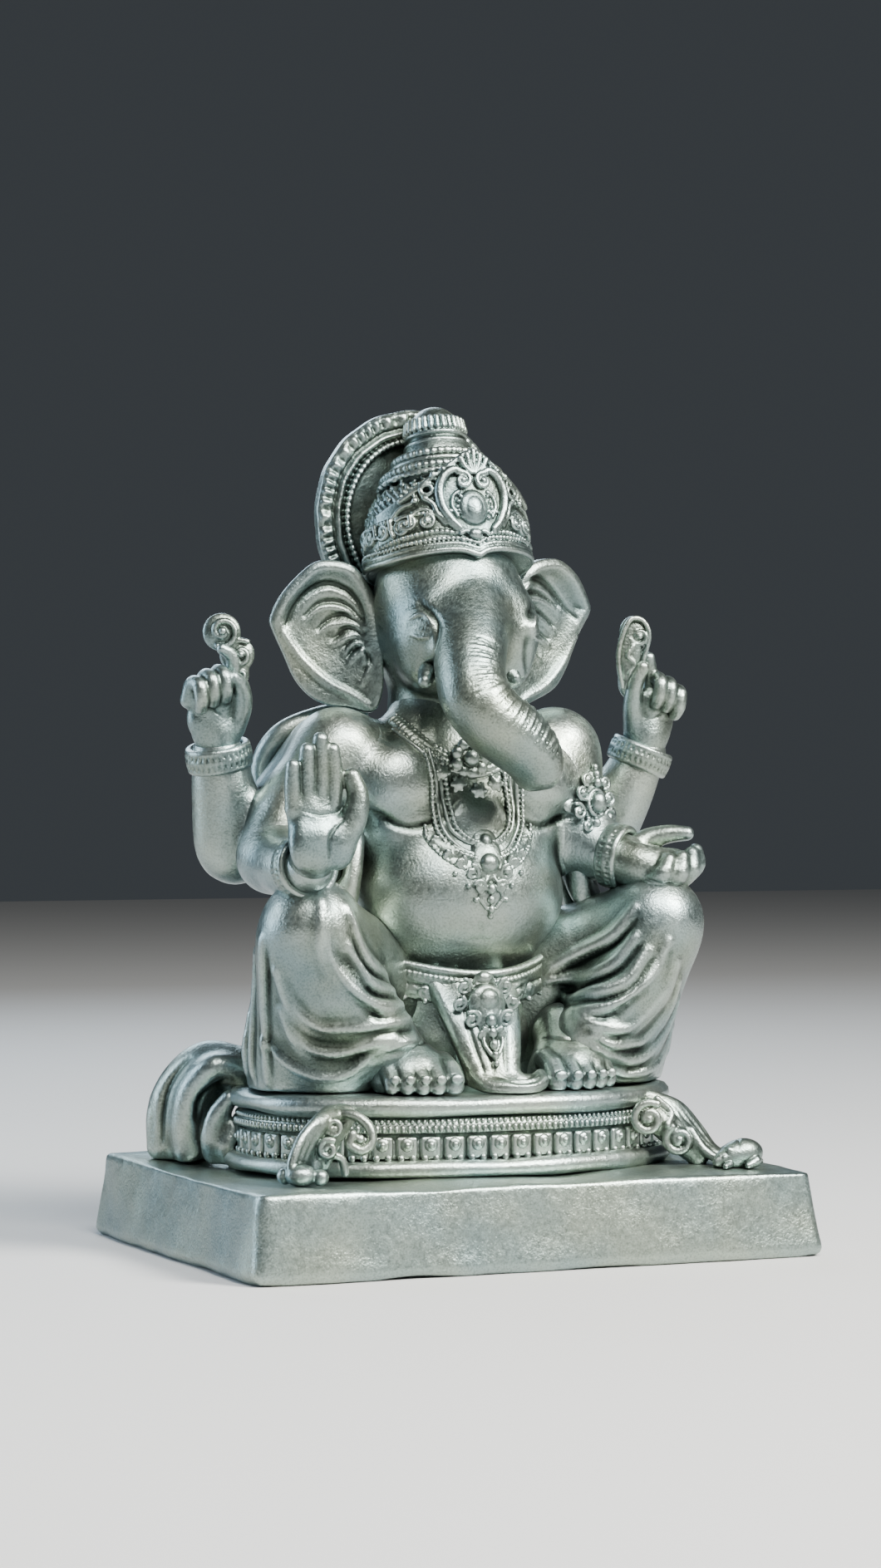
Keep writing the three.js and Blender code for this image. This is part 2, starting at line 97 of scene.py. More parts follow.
class Clay:
    """A block of distances that shapes are added to and cut from."""

    def __init__(self, low, high, voxel):
        self.voxel = voxel * COARSE
        self.low = np.array(low, float)
        counts = np.ceil((np.array(high, float) - self.low) / self.voxel).astype(int) + 1
        self.ticks = [self.low[i] + self.voxel * np.arange(counts[i]) for i in range(3)]
        self.d = np.full(counts, FAR, np.float32)

    def window(self, low, high, margin):
        """The part of the block round a box, as slices and open coordinates."""
        slices = []
        for ticks, a, b in zip(self.ticks, low, high):
            first, last = np.searchsorted(ticks, (a - margin, b + margin))
            if last <= first:
                return None
            slices.append(slice(first, last))
        coords = [t[s].astype(np.float32) for t, s in zip(self.ticks, slices)]
        return tuple(slices), (coords[0][:, None, None], coords[1][None, :, None], coords[2][None, None, :])

    def merge(self, slices, shape, blend, cut=False):
        """Adds a shape's distances to a part of the block, or cuts them from it."""
        here = self.d[slices]
        if cut:
            self.d[slices] = -soft_min(-here, shape, blend)
        else:
            self.d[slices] = soft_min(here, shape, blend)

    def ball(self, centre, radii, blend=0.0, cut=False, rotation=None):
        """An ellipsoid."""
        radii = np.broadcast_to(np.array(radii, float), 3)
        reach = np.array([radii.max()] * 3) if rotation is not None else radii
        centre = np.array(centre, float)
        found = self.window(centre - reach, centre + reach, blend + 3 * self.voxel)
        if found is None:
            return
        slices, (x, y, z) = found
        x, y, z = x - centre[0], y - centre[1], z - centre[2]
        if rotation is not None:
            r = rotation
            x, y, z = (x * r[0, 0] + y * r[1, 0] + z * r[2, 0], x * r[0, 1] + y * r[1, 1] + z * r[2, 1],
                       x * r[0, 2] + y * r[1, 2] + z * r[2, 2])
        a = np.sqrt((x / radii[0]) ** 2 + (y / radii[1]) ** 2 + (z / radii[2]) ** 2)
        b = np.sqrt((x / radii[0] ** 2) ** 2 + (y / radii[1] ** 2) ** 2 + (z / radii[2] ** 2) ** 2)
        self.merge(slices, a * (a - 1) / np.maximum(b, 1e-6), blend, cut)

    def limb(self, points, blend=0.0, cut=False, step=None, flat=None):
        """A tapered tube through [x, y, z, radius] points; step smooths it into a curve.
        flat = (normal, share) squashes its section along a direction."""
        points = curve(points, step) if step else np.array(points, float)
        radius = points[:, 3].max()
        low, high = points[:, :3].min(0) - radius, points[:, :3].max(0) + radius
        found = self.window(low, high, blend + 3 * self.voxel)
        if found is None:
            return
        slices, _ = found
        shape = np.full([s.stop - s.start for s in slices], FAR, np.float32)
        for a, b in zip(points[:-1], points[1:]):
            part = self.window(np.minimum(a, b)[:3] - max(a[3], b[3]), np.maximum(a, b)[:3] + max(a[3], b[3]),
                               blend + 3 * self.voxel)
            if part is None:
                continue
            inner, (x, y, z) = part
            inner = tuple(slice(i.start - s.start, i.stop - s.start) for i, s in zip(inner, slices))
            along = b[:3] - a[:3]
            length = max(float(along @ along), 1e-9)
            px, py, pz = x - a[0], y - a[1], z - a[2]
            t = np.clip((px * along[0] + py * along[1] + pz * along[2]) / length, 0, 1)
            px, py, pz = px - t * along[0], py - t * along[1], pz - t * along[2]
            if flat is not None:
                normal, share = flat
                off = (px * normal[0] + py * normal[1] + pz * normal[2]) * (1 / share - 1)
                px, py, pz = px + off * normal[0], py + off * normal[1], pz + off * normal[2]
            away = np.sqrt(px * px + py * py + pz * pz) - (a[3] + t * (b[3] - a[3]))
            shape[inner] = np.minimum(shape[inner], away)
        self.merge(slices, shape, blend, cut)

    def grooves(self, points, depth, width):
        """A soft furrow along the surface through [x, y, z] points."""
        line = self.snap(curve(points, 0.8))
        taper = np.sin(np.linspace(0.15, math.pi - 0.15, len(line)))
        self.limb(np.column_stack([line, 0.1 + width * taper]), depth, cut=True)

    def ridge(self, points, size, blend, lift=0.0, ends=0.25):
        """A rounded fold lying on the surface, thinning to both ends."""
        line = self.snap(curve(points, 0.8), lift)
        taper = ends + (1 - ends) * np.sin(np.linspace(0.1, math.pi - 0.1, len(line)))
        self.limb(np.column_stack([line, size * taper]), blend)

    def field(self, function, low=None, high=None):
        """Adds function(x, y, z) to the distances: a positive value wears the surface down."""
        low = [t[0] for t in self.ticks] if low is None else low
        high = [t[-1] for t in self.ticks] if high is None else high
        slices, coords = self.window(low, high, 0)
        self.d[slices] += function(*coords).astype(np.float32)

    def coords(self, centre=(0, 0, 0)):
        """Open coordinates over the whole block, measured from a centre."""
        x, y, z = (ticks.astype(np.float32) - start for ticks, start in zip(self.ticks, centre))
        return x[:, None, None], y[None, :, None], z[None, None, :]

    def keep(self, function):
        """Keeps only the clay where function(x, y, z) is negative."""
        self.d = np.maximum(self.d, function(*self.coords())).astype(np.float32)

    def soften(self, reach):
        """Averages the distances over a few voxels, which melts the lines where shapes meet."""
        wide = max(int(round(reach / self.voxel)), 1)
        for axis in (0, 1, 2) * 2:
            flat = np.moveaxis(self.d, axis, 0)
            padded = np.concatenate([flat[:1]] * (wide + 1) + [flat] + [flat[-1:]] * wide).astype(np.float64)
            total = np.cumsum(padded, axis=0)
            mean = (total[2 * wide + 1:] - total[:-2 * wide - 1]) / (2 * wide + 1)
            self.d = np.ascontiguousarray(np.moveaxis(mean, 0, axis)).astype(np.float32)

    def sample(self, points):
        """Distances at points, between the voxels."""
        at = (points - self.low) / self.voxel
        at = np.clip(at, 0, np.array(self.d.shape) - 1.001)
        first = at.astype(int)
        share = at - first
        total = 0
        for corner in np.ndindex(2, 2, 2):
            weight = np.prod(np.where(corner, share, 1 - share), axis=1)
            total = total + weight * self.d[tuple((first + corner).T)]
        return total

    def slope(self, points):
        """The outward direction at points."""
        found = []
        for axis in range(3):
            step = np.zeros(3)
            step[axis] = self.voxel
            found.append(self.sample(points + step) - self.sample(points - step))
        found = np.stack(found, 1)
        return found / np.maximum(np.linalg.norm(found, axis=1, keepdims=True), 1e-6)

    def snap(self, points, lift=0.0):
        """Points moved on to the surface, or lift mm above it."""
        points = np.array(points, float)[:, :3]
        for _ in range(8):
            away = np.clip(self.sample(points) - lift, -3, 3)
            points = points - 0.8 * away[:, None] * self.slope(points)
        return points

    def copy(self):
        other = object.__new__(Clay)
        other.voxel, other.low, other.ticks, other.d = self.voxel, self.low, self.ticks, self.d.copy()
        return other


# ---- turning clay and meshes into pieces -------------------------------------------------------
def skin(clay, name):
    """The clay's surface as a mesh object, in metres."""
    block = clay.d
    for axis in range(3):
        edge = [slice(None)] * 3
        for end in (0, -1):
            edge[axis] = end
            block[tuple(edge)] = np.maximum(block[tuple(edge)], clay.voxel * 0.5)
    grid = openvdb.FloatGrid(background=FAR)
    grid.copyFromArray(np.clip(block, -FAR, FAR))
    points, _, quads = grid.convertToPolygons(isovalue=0.0, adaptivity=0.0)
    mesh = bpy.data.meshes.new(name)
    mesh.vertices.add(len(points))
    mesh.vertices.foreach_set("co", ((points * clay.voxel + clay.low) * MM).astype(np.float32).ravel())
    mesh.loops.add(4 * len(quads))
    mesh.loops.foreach_set("vertex_index", quads.astype(np.int32).ravel())
    mesh.polygons.add(len(quads))
    mesh.polygons.foreach_set("loop_start", np.arange(0, 4 * len(quads), 4, dtype=np.int32))
    mesh.update(calc_edges=True)
    mesh.validate()
    return piece_from(mesh, name)


def piece_from(mesh, name, wash_and_painted_light=1.0):
    """Links a mesh as an object, smooth shaded, with its crease attribute. wash_and_painted_light scales the
    crease darkening (antique wash and painted shade) and the painted highlight on ridges.
    """
    piece = bpy.data.objects.new(name, mesh)
    bpy.context.scene.collection.objects.link(piece)
    mesh.polygons.foreach_set("use_smooth", np.ones(len(mesh.polygons), bool))
    mark_creases(mesh, wash_and_painted_light)
    return piece


def mark_creases(mesh, wash_and_painted_light):
    """Stores how sunken each point is: 0.5 on an even surface, more in furrows, less on ridges. The paint
    darkens furrows by it (antique wash and painted shade) and lightens ridges (painted highlight).
    """
    count = len(mesh.vertices)
    place = np.zeros(count * 3, np.float32)
    mesh.vertices.foreach_get("co", place)
    place = place.reshape(-1, 3) / MM
    normal = np.zeros(count * 3, np.float32)
    mesh.vertex_normals.foreach_get("vector", normal)
    normal = normal.reshape(-1, 3)
    edges = np.zeros(len(mesh.edges) * 2, np.int32)
    mesh.edges.foreach_get("vertices", edges)
    a, b = edges.reshape(-1, 2).T
    degree = np.maximum(np.bincount(a, minlength=count) + np.bincount(b, minlength=count), 1)

    def spread(values):
        total = np.stack([np.bincount(a, values[b, i], count) + np.bincount(b, values[a, i], count)
                          for i in range(values.shape[1])], 1)
        return (total / degree[:, None]).astype(np.float32)

    smooth = place
    level = np.zeros(count, np.float32)
    for rounds, weight in ((3, 1.6), (7, 1.0), (16, 0.7)):
        for _ in range(rounds):
            smooth = spread(smooth)
        level += weight * ((smooth - place) * normal).sum(1)
    for _ in range(2):
        level = spread(level[:, None])[:, 0]
    attribute = mesh.attributes.new("crease", "FLOAT", "POINT")
    attribute.data.foreach_set("value", np.clip(0.5 + 0.5 * wash_and_painted_light * level, 0, 1).astype(np.float32))


def finish(piece, slot, *nodes):
    """Gives a piece its paint and its place on the model."""
    piece.data.materials.clear()
    piece.data.materials.append(paint(slot))
    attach(piece, "root")
    if nodes:
        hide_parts(*nodes)
    return piece


# ---- torso and arms ----------------------------------------------------------------------------
LIMBS = {
    "upper_arm_front_right": [(-36, 0, 147, 12.5), (-51, -2, 132, 11), (-59, -5, 117, 9.5)],
    "upper_arm_front_left": [(34, 0, 148, 12.5), (37, -3, 136, 11.5), (40, -7, 122, 10.5)],
    "forearm_front_right": [(-59, -5, 117, 9.5), (-60, -22, 114.5, 9), (-59.5, -35, 114.5, 7)],
    "forearm_front_left": [(40, -7, 121, 10), (44, -15, 117.5, 8.5), (48, -21, 116, 7)],
    "arm_rear_right": [(-36, 14, 146, 12), (-54, 18, 124, 10.5), (-64, 17, 119, 10), (-67, 14, 134, 9.8),
                       (-70.4, 11, 147.5, 7.5)],
    "arm_rear_left": [(36, 14, 146, 12), (50, 18, 124, 10), (57, 17, 120, 9.5), (63, 14, 133, 9.6),
                      (69.2, 10.5, 147.8, 7.5)],
}


def torso_clay(clay, blend):
    """The trunk of the body, from the seat to the neck."""
    clay.ball((0, -6, 105.5), (32.5, 23.5, 24.5), 0)
    clay.ball((0, 2, 84), (30, 20, 22), blend)
    clay.ball((0, 0, 138), (36, 19, 25), blend)
    clay.ball((0, 4, 124), (30, 19, 30), blend)
    for side in (-1, 1):
        clay.ball((side * 36, 3, 147), (13, 13, 13), blend)
        clay.ball((side * 17, -5, 125), (16, 14, 14), blend)
    clay.ball((-0.5, -9.5, 127), (15, 14, 12), blend)
    for side in (-1, 1):
        clay.ball((side * 20, -9.5, 138), (16, 10.8, 13.5), 2.2)
    clay.limb([(0, 4, 150, 20), (0, 3, 160, 17), (0, 2, 170, 15)], blend)
    clay.ball((0, 4, 66), (30, 22, 22), blend)


def build_body():
    """Torso and arms come from one lump of clay, parted where each limb begins."""
    low, high = (-86, -46, SEAT), (84, 36, 176)
    whole = Clay(low, high, 0.72)
    blend = 6.0
    torso_clay(whole, blend)
    for points in LIMBS.values():
        whole.limb(points, blend, step=2.0)
    groups = {"torso": Clay(low, high, 0.72)}
    torso_clay(groups["torso"], 0)
    for name, points in LIMBS.items():
        groups[name] = Clay(low, high, 0.72)
        groups[name].limb(points, 0, step=2.0)
    body_details(whole)
    nearest = {}
    for name, clay in groups.items():
        others = [other.d for key, other in groups.items() if key != name]
        nearest[name] = 0.5 * (clay.d - np.minimum.reduce(others))
    for name, edge in nearest.items():
        part = whole.copy()
        tongue = 0.12 * np.clip(edge / 0.3, 0, 1)
        part.d = np.maximum(whole.d + tongue, edge - 0.7)
        finish(skin(part, name + "_cast"), "skin_silver", name)


def body_details(clay):
    """Creases under the breasts, the navel and the line over the belly."""
    for side in (-1, 1):
        clay.grooves([(side * 34, -12, 132), (side * 30, -17, 128), (side * 22, -21, 126),
                      (side * 12, -22, 129),
                      (side * 7, -21, 134)], 1.6, 0.85)
    clay.limb([(-2.5, -31, 92, 0.9), (-2.5, -27, 91.4, 0.6)], 1.2, cut=True)
    clay.grooves([(-2.5, -30, 97), (-2.5, -30, 93)], 0.5, 0.4)
    clay.grooves([(-5.5, -30, 89.4), (-2.5, -30, 91), (0.5, -30, 89.4)], 0.5, 0.4)


# ---- head --------------------------------------------------------------------------------------
TRUNK = [(0, -6.5, 193, 15.2), (-0.8, -13, 189.4, 13.4), (-3, -20, 184.2, 12.0), (-5.6, -26.8, 178, 11.0),
         (-8.2, -32.6, 171.2, 10.4),
         (-8.5, -37, 164, 10.4), (-4, -39.2, 157.5, 10.6), (2.5, -39.6, 152.5, 10.3), (8, -39.2, 147.8, 9.2),
         (10.6, -38.2, 143.6, 8.0)]


EYE_CREASE = [(-16.5, -18, 190.5), (-16, -23, 188), (-16, -26.5, 184.5), (-16.5, -27.5, 179),
              (-16.5, -25.5, 175),
              (-16.7, -19, 172)]


def head_clay():
    clay = Clay((-30, -54, 128), (30, 26, 218), 0.4)
    clay.ball((-0.8, 1, 192), (22.7, 21, 26), 0)
    clay.ball((0, 7, 180), (20, 17, 20), 5)
    clay.limb([(0, 4, 168, 17), (0, 4, 156, 18)], 3)
    clay.ball((0, -11, 169), (10, 10, 8), 4)
    clay.limb(TRUNK, 9, step=1.5)
    for side in (-1, 1):
        clay.ball((side * 13, -11.5, 183), (9.4, 12, 13.5), 7)
        clay.ball((side * 12, -11, 173), (7.6, 9.5, 7), 3)
    clay.soften(1.3)
    return clay


def wrinkle(clay, at, middle, half_angle, depth):
    """A furrow round part of the trunk; at counts along TRUNK, middle is the furrow's direction."""
    line = curve(TRUNK, 0.5)
    share = at * (len(line) - 1)
    spot = line[int(share)]
    ahead = Vector(line[min(int(share) + 2, len(line) - 1)][:3]
                   - line[max(int(share) - 2, 0)][:3]).normalized()
    out = Vector(middle)
    out = (out - ahead * out.dot(ahead)).normalized()
    side = ahead.cross(out)
    points = []
    for angle in np.radians(np.linspace(-half_angle, half_angle, 7)):
        points.append(np.array(spot[:3]) + np.array(out * math.cos(angle) + side * math.sin(angle)) * spot[3])
    clay.grooves(points, 0.25, depth)


def build_head():
    """Skull, half-closed eyes, mouth and the wrinkled trunk that curls to the idol's left."""
    clay = head_clay()
    for side in (1, -1):
        def face(points):
            return [(x * side, y, z) for x, y, z in points]

        clay.grooves(face(EYE_CREASE), 2.0, 0.4)
        clay.ball((-15.8 * side, -19.5, 184.2), (3.5, 4.7, 3.5), 2.2)
        clay.ridge(face([(-18.5, -16, 186.2), (-17.4, -20, 187.4), (-16.3, -24.5, 184.6)]), 0.8, 0.25)
        clay.grooves(face([(-18.8, -16, 184.4), (-17.6, -20.5, 184.6), (-16.6, -25, 182.6)]), 0.3, 0.22)
        clay.ridge(face([(-18.6, -16.5, 182.4), (-17.8, -20.5, 181.8), (-17, -24.4, 181.4)]), 0.7, 0.2)
        clay.grooves(face([(-20.5, -14.6, 188.4), (-19, -18, 190.2), (-16.6, -21.5, 189.6)]), 0.4, 0.2)
        clay.grooves(face([(-17.6, -15, 170.5), (-16, -18.5, 168.5), (-13, -22, 166)]), 0.6, 0.4)
        for drop in (0, 3, 6):
            clay.grooves(face([(-23.4, 3 - drop * 0.2, 192 - drop), (-22.8, -1, 190.5 - drop),
                               (-23, -4, 190.8 - drop)]),
                         0.3, 0.25)
    for i in range(13):
        wrinkle(clay, 0.43 + i * 0.0165, (0.15, -1, 0.1), 36, 0.36)
    for i in range(17):
        wrinkle(clay, 0.67 + i * 0.0178, (0.8, -0.6, 0.6), 62, 0.5)
    tip = TRUNK[-1]
    clay.ball((tip[0] + 1, tip[1] - 1, tip[2] - tip[3]), (3.5, 3, 1.6), 0.8, cut=True)
    finish(skin(clay, "head_cast"), "skin_silver", "head")


# ---- legs --------------------------------------------------------------------------------------
def leg_clay(side):
    """A thigh and shin under cloth that spreads out on the seat."""
    low = (-74 if side < 0 else 2, -46, SEAT + 0.2)
    high = (-2 if side < 0 else 74, 34, 118)
    clay = Clay(low, high, 0.66)
    s = side
    clay.limb([(s * 20, 8, 72, 20), (s * 40, -10, 86, 17), (s * 55, -26, 97, 13.5)], 0)
    clay.limb([(s * 55.5, -26, 97, 13.5), (s * 47, -27, 80, 13), (s * 34, -26, 64, 11)], 5)
    clay.limb([(s * 56, -22, 92, 12), (s * 57, -10, 68, 9), (s * 55, -8, 52, 10)], 6)
    clay.limb([(s * 50, 0, 78, 12), (s * 56, 4, 60, 8), (s * 54, 4, 50, 9)], 8)
    clay.limb([(s * 54, -20, 88, 13), (s * 50, -18, 70, 14), (s * 46, -17, 58, 13)], 7)
    clay.ball((s * 42, -8, 58), (21, 19, 14), 8)
    clay.ball((s * 26, 12, 56), (24, 18, 14), 8)
    return clay


LEG_RIDGES = {
    "right": [([(-57, -37.7, 105), (-57, -39.4, 92), (-52.6, -39.2, 84), (-46, -39.3, 77.5),
                (-38, -38, 74.5), (-29, -33, 75)],
               2.0),
              ([(-66.5, -28, 85), (-62.5, -28, 75), (-56, -32, 68), (-48, -36, 67.5), (-36, -37.5, 70),
                (-27, -33, 70.5)],
               2.0),
              ([(-64, -25, 73), (-60, -26, 65), (-55, -29, 61), (-47.8, -32, 60.8), (-40, -36.5, 63.6),
                (-34, -37, 66)], 1.8),
              ([(-66, -15, 64), (-61, -21.6, 57), (-53, -27.7, 53), (-45, -31, 54.5), (-40, -33, 58)], 1.8),
              ([(-49, -37.5, 103), (-46, -38, 94), (-41, -36.6, 87.5), (-34, -30, 83)], 1.5),
              ([(-50, -37, 92), (-46, -38.8, 87), (-42, -38.9, 82), (-33, -32, 78.5)], 1.3),
              ([(-69, -25, 94), (-68, -20, 78), (-66, -16, 62), (-64, -14, 52)], 1.8),
              ([(-70, -12, 90), (-68, -8, 72), (-66, -6, 54)], 1.9),
              ([(-68, 0, 84), (-66, 2, 70), (-64, 4, 54)], 1.7),
              ([(-44, -33, 56), (-39, -36, 60.5), (-31, -36, 63.5), (-24, -32, 64)], 1.5)],
    "left": [([(46, -33, 101), (39, -31, 94), (32, -26, 89.5), (24, -19, 84)], 1.4),
             ([(44, -36, 93), (38, -34, 86), (31, -28, 82), (23, -19, 79.5)], 1.4),
             ([(47, -38, 89), (41, -37.5, 80.8), (34, -33, 77), (26, -22, 75)], 1.4),
             ([(53, -38, 92), (49, -39.8, 83), (43, -39, 77.5), (36, -37, 73.4), (28, -31, 71)], 1.6),
             ([(56, -37, 86), (54, -38, 77.5), (48, -38.5, 69.5), (42, -37.5, 65.5), (35, -37.5, 66),
               (28, -33, 69)], 1.8),
             ([(58, -34, 80), (56, -33, 70), (50, -33, 62), (44, -34, 60.5), (37, -36, 61), (30, -36, 65)],
              1.8),
             ([(60, -29, 74), (57, -28, 64), (51, -29, 57.5), (44, -31, 55.6), (37, -34.5, 57),
               (31, -36, 60)], 1.7),
             ([(61, -22, 66), (58, -24, 56), (53, -27, 52.6), (46, -29, 51.4), (39, -30, 52.4),
               (32, -33, 55)], 1.8),
             ([(66, -18, 92), (64, -16, 74), (61, -14, 58)], 1.8),
             ([(67, -8, 88), (65, -6, 70), (62, -4, 54)], 1.8)],
}


def build_legs():
    """Cloth drapes from the knees in deep folds that sweep round to the ankles."""
    for side, word in ((-1, "right"), (1, "left")):
        clay = leg_clay(side)
        for points, size in LEG_RIDGES[word]:
            clay.ridge(points, size, 2.2, -0.3, ends=0.4)
        for points, size in LEG_RIDGES[word]:
            clay.grooves([(x, y - 2, z - size - 1.2) for x, y, z in points], 1.4, size * 0.4)
        finish(skin(clay, f"leg_{word}_cast"), "cloth_silver", f"leg_{word}")


# ---- feet --------------------------------------------------------------------------------------
def build_feet():
    """Plump bare feet, five toes each, the big toe inwards."""
    for side, word in ((-1, "right"), (1, "left")):
        s = side
        middle = 25.0
        clay = Clay((s * middle - 18, -48, SEAT + 0.2), (s * middle + 18, -8, 74), 0.35)
        clay.limb([(s * 29, -18, 64, 9.5), (s * 27, -24, 57.5, 9)], 0)
        clay.ball((s * 25.5, -28, 54.5), (11.5, 11, 8.5), 4)
        clay.ball((s * 25, -30, 52.5), (12.6, 7.4, 6.4), 4)
        toes = [(-8.4, -40.2, 3.4), (-3.2, -41.0, 2.8), (1.4, -40.6, 2.65), (5.7, -39.4, 2.5),
                (9.6, -37.4, 2.4)]
        for offset, tip, radius in toes:
            x = s * (middle + offset)
            clay.limb([(x * 0.985, tip + 9, SEAT + 9, radius * 0.9), (x, tip + 4, SEAT + 6.8, radius),
                       (x, tip + 1, SEAT + 4.2, radius), (x, tip + 0.6, SEAT + 2.6, radius * 0.92)], 1.0)
            clay.ball((x, tip - radius * 0.74, SEAT + 4.8), (radius * 0.62, 0.7, 1.5), 0.2)
        clay.grooves([(s * 17, -24, 64), (s * 24, -32, 63), (s * 32, -29, 62)], 0.6, 0.5)
        finish(skin(clay, f"foot_{word}_cast"), "skin_silver", f"foot_{word}")


# ---- slab and seat -----------------------------------------------------------------------------
SEAT_SHAPE = 2.25  # 2 is an ellipse, more is squarer


def seat_point(turn_share, half_width, half_depth):
    """A point on the seat's outline, and its outward direction."""
    angle = 2 * math.pi * turn_share
    power = 2 / SEAT_SHAPE
    c, s = math.cos(angle), math.sin(angle)
    x = half_width * math.copysign(abs(c) ** power, c)
    y = half_depth * math.copysign(abs(s) ** power, s)
    out = Vector((math.copysign(abs(x / half_width) ** (SEAT_SHAPE - 1), x) / half_width,
                  math.copysign(abs(y / half_depth) ** (SEAT_SHAPE - 1), y) / half_depth, 0))
    return Vector((x, y, 0)), out.normalized()


def outline_steps(half_width, half_depth, count):
    """Evenly spaced places round the seat's outline, as (point, outward)."""
    fine = [seat_point(i / 2000, half_width, half_depth) for i in range(2000)]
    lengths = [(fine[i][0] - fine[i - 1][0]).length for i in range(1, 2000)]
    total, walked, found = sum(lengths), 0.0, []
    for i, length in enumerate(lengths):
        if walked >= len(found) * total / count:
            found.append(fine[i])
        walked += length
    return found[:count]


def seat_ring(bm, half_width, half_depth, profile, steps=160):
    """Sweeps an [inset, z] profile round the seat's outline and closes it with flat ends."""
    rings = []
    for inset, z in profile:
        ring = []
        for i in range(steps):
            point, out = seat_point(i / steps, half_width, half_depth)
            ring.append(bm.verts.new((point - out * inset) * MM + Vector((0, 0, z * MM))))
        rings.append([bm.edges.new((ring[i], ring[(i + 1) % steps])) for i in range(steps)])
    for lower, upper in zip(rings, rings[1:]):
        bmesh.ops.bridge_loops(bm, edges=lower + upper)
    for ring in (rings[0], rings[-1]):
        bmesh.ops.contextual_create(bm, geom=ring)
    bmesh.ops.recalc_face_normals(bm, faces=bm.faces)


def mesh_of(bm, name):
    mesh = bpy.data.meshes.new(name)
    bm.to_mesh(mesh)
    bm.free()
    return mesh


def cast_of(bm, name, wash_and_painted_light=1.0):
    """Turns an edited mesh into a linked object."""
    return piece_from(mesh_of(bm, name), name, wash_and_painted_light)


def place(bm, verts, point, out, lean=0.0):
    """Moves new vertices, modelled with +Y outward, to a place on an outline."""
    angle = math.atan2(out.y, out.x) - math.pi / 2
    move = Matrix.Translation(point) @ Matrix.Rotation(angle, 4, "Z") @ Matrix.Rotation(lean, 4, "X")
    bmesh.ops.transform(bm, matrix=move, verts=verts)


def half_sizes(node):
    low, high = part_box(node)
    return (high.x - low.x) / 2 / MM, (high.y - low.y) / 2 / MM, low.z / MM, high.z / MM


def wobble(bm, size, strength, seed):
    """Uneven hand-cast surface: moves every vertex a little along its normal."""
    bm.normal_update()
    for vert in bm.verts:
        sample = vert.co / (size * MM) + Vector((seed, 0, 0))
        vert.co += vert.normal * noise.noise(sample) * strength * MM


def build_slab():
    """The slab, with softened edges, shallow dents and a ragged foot."""
    half_w, half_d, low, high = half_sizes("base_slab")
    bm = bmesh.new()
    bmesh.ops.create_cube(bm, size=1)
    bmesh.ops.scale(bm, vec=(2 * half_w * MM, 2 * half_d * MM, (high - low) * MM), verts=bm.verts)
    bmesh.ops.translate(bm, vec=(0, 0, (high + low) / 2 * MM), verts=bm.verts)
    for vert in bm.verts:
        if vert.co.z > low * MM + 0.01:
            vert.co.x *= 1 - 3.0 / half_w
            vert.co.y *= 1 - 3.0 / half_d
    upright = [e for e in bm.edges if abs(e.verts[0].co.z - e.verts[1].co.z) > 0.01]
    bmesh.ops.bevel(bm, geom=upright, offset=4 * MM, affect="EDGES", segments=5, profile=0.5, material=-1)
    foot = [e for e in bm.edges if max(v.co.z for v in e.verts) < low * MM + 1e-5]
    bmesh.ops.bevel(bm, geom=foot, offset=3.5 * MM, affect="EDGES", segments=4, profile=0.5, material=-1)
    brow = [e for e in bm.edges if min(v.co.z for v in e.verts) > high * MM - 1e-5]
    bmesh.ops.bevel(bm, geom=brow, offset=1.3 * MM, affect="EDGES", segments=3, profile=0.5, material=-1)
    for axis, half in ((0, half_w), (1, half_d)):
        for step in range(1, int(2 * half / 2.6)):
            normal = [0, 0, 0]
            normal[axis] = 1
            at = [0, 0, 0]
            at[axis] = (-half + step * 2.6) * MM
            bmesh.ops.bisect_plane(bm, geom=bm.verts[:] + bm.edges[:] + bm.faces[:], plane_co=at,
                                   plane_no=normal, dist=1e-6)
    for step in range(1, 9):
        bmesh.ops.bisect_plane(bm, geom=bm.verts[:] + bm.edges[:] + bm.faces[:], dist=1e-6,
                               plane_co=(0, 0, (low + step * (high - low) / 9) * MM), plane_no=(0, 0, 1))
    bmesh.ops.triangulate(bm, faces=[f for f in bm.faces if len(f.verts) > 4])
    wobble(bm, 38, 1.5, 3)
    wobble(bm, 13, 0.5, 7)
    wobble(bm, 4, 0.16, 11)
    for vert in bm.verts:
        if vert.co.z < (low + 0.3) * MM:
            vert.co.z = low * MM
    slab = cast_of(bm, "base_slab_cast", 0.15)
    smooth = slab.modifiers.new("soften", "SUBSURF")
    smooth.levels = smooth.render_levels = 1
    finish(slab, "slab_silver", "base_slab")


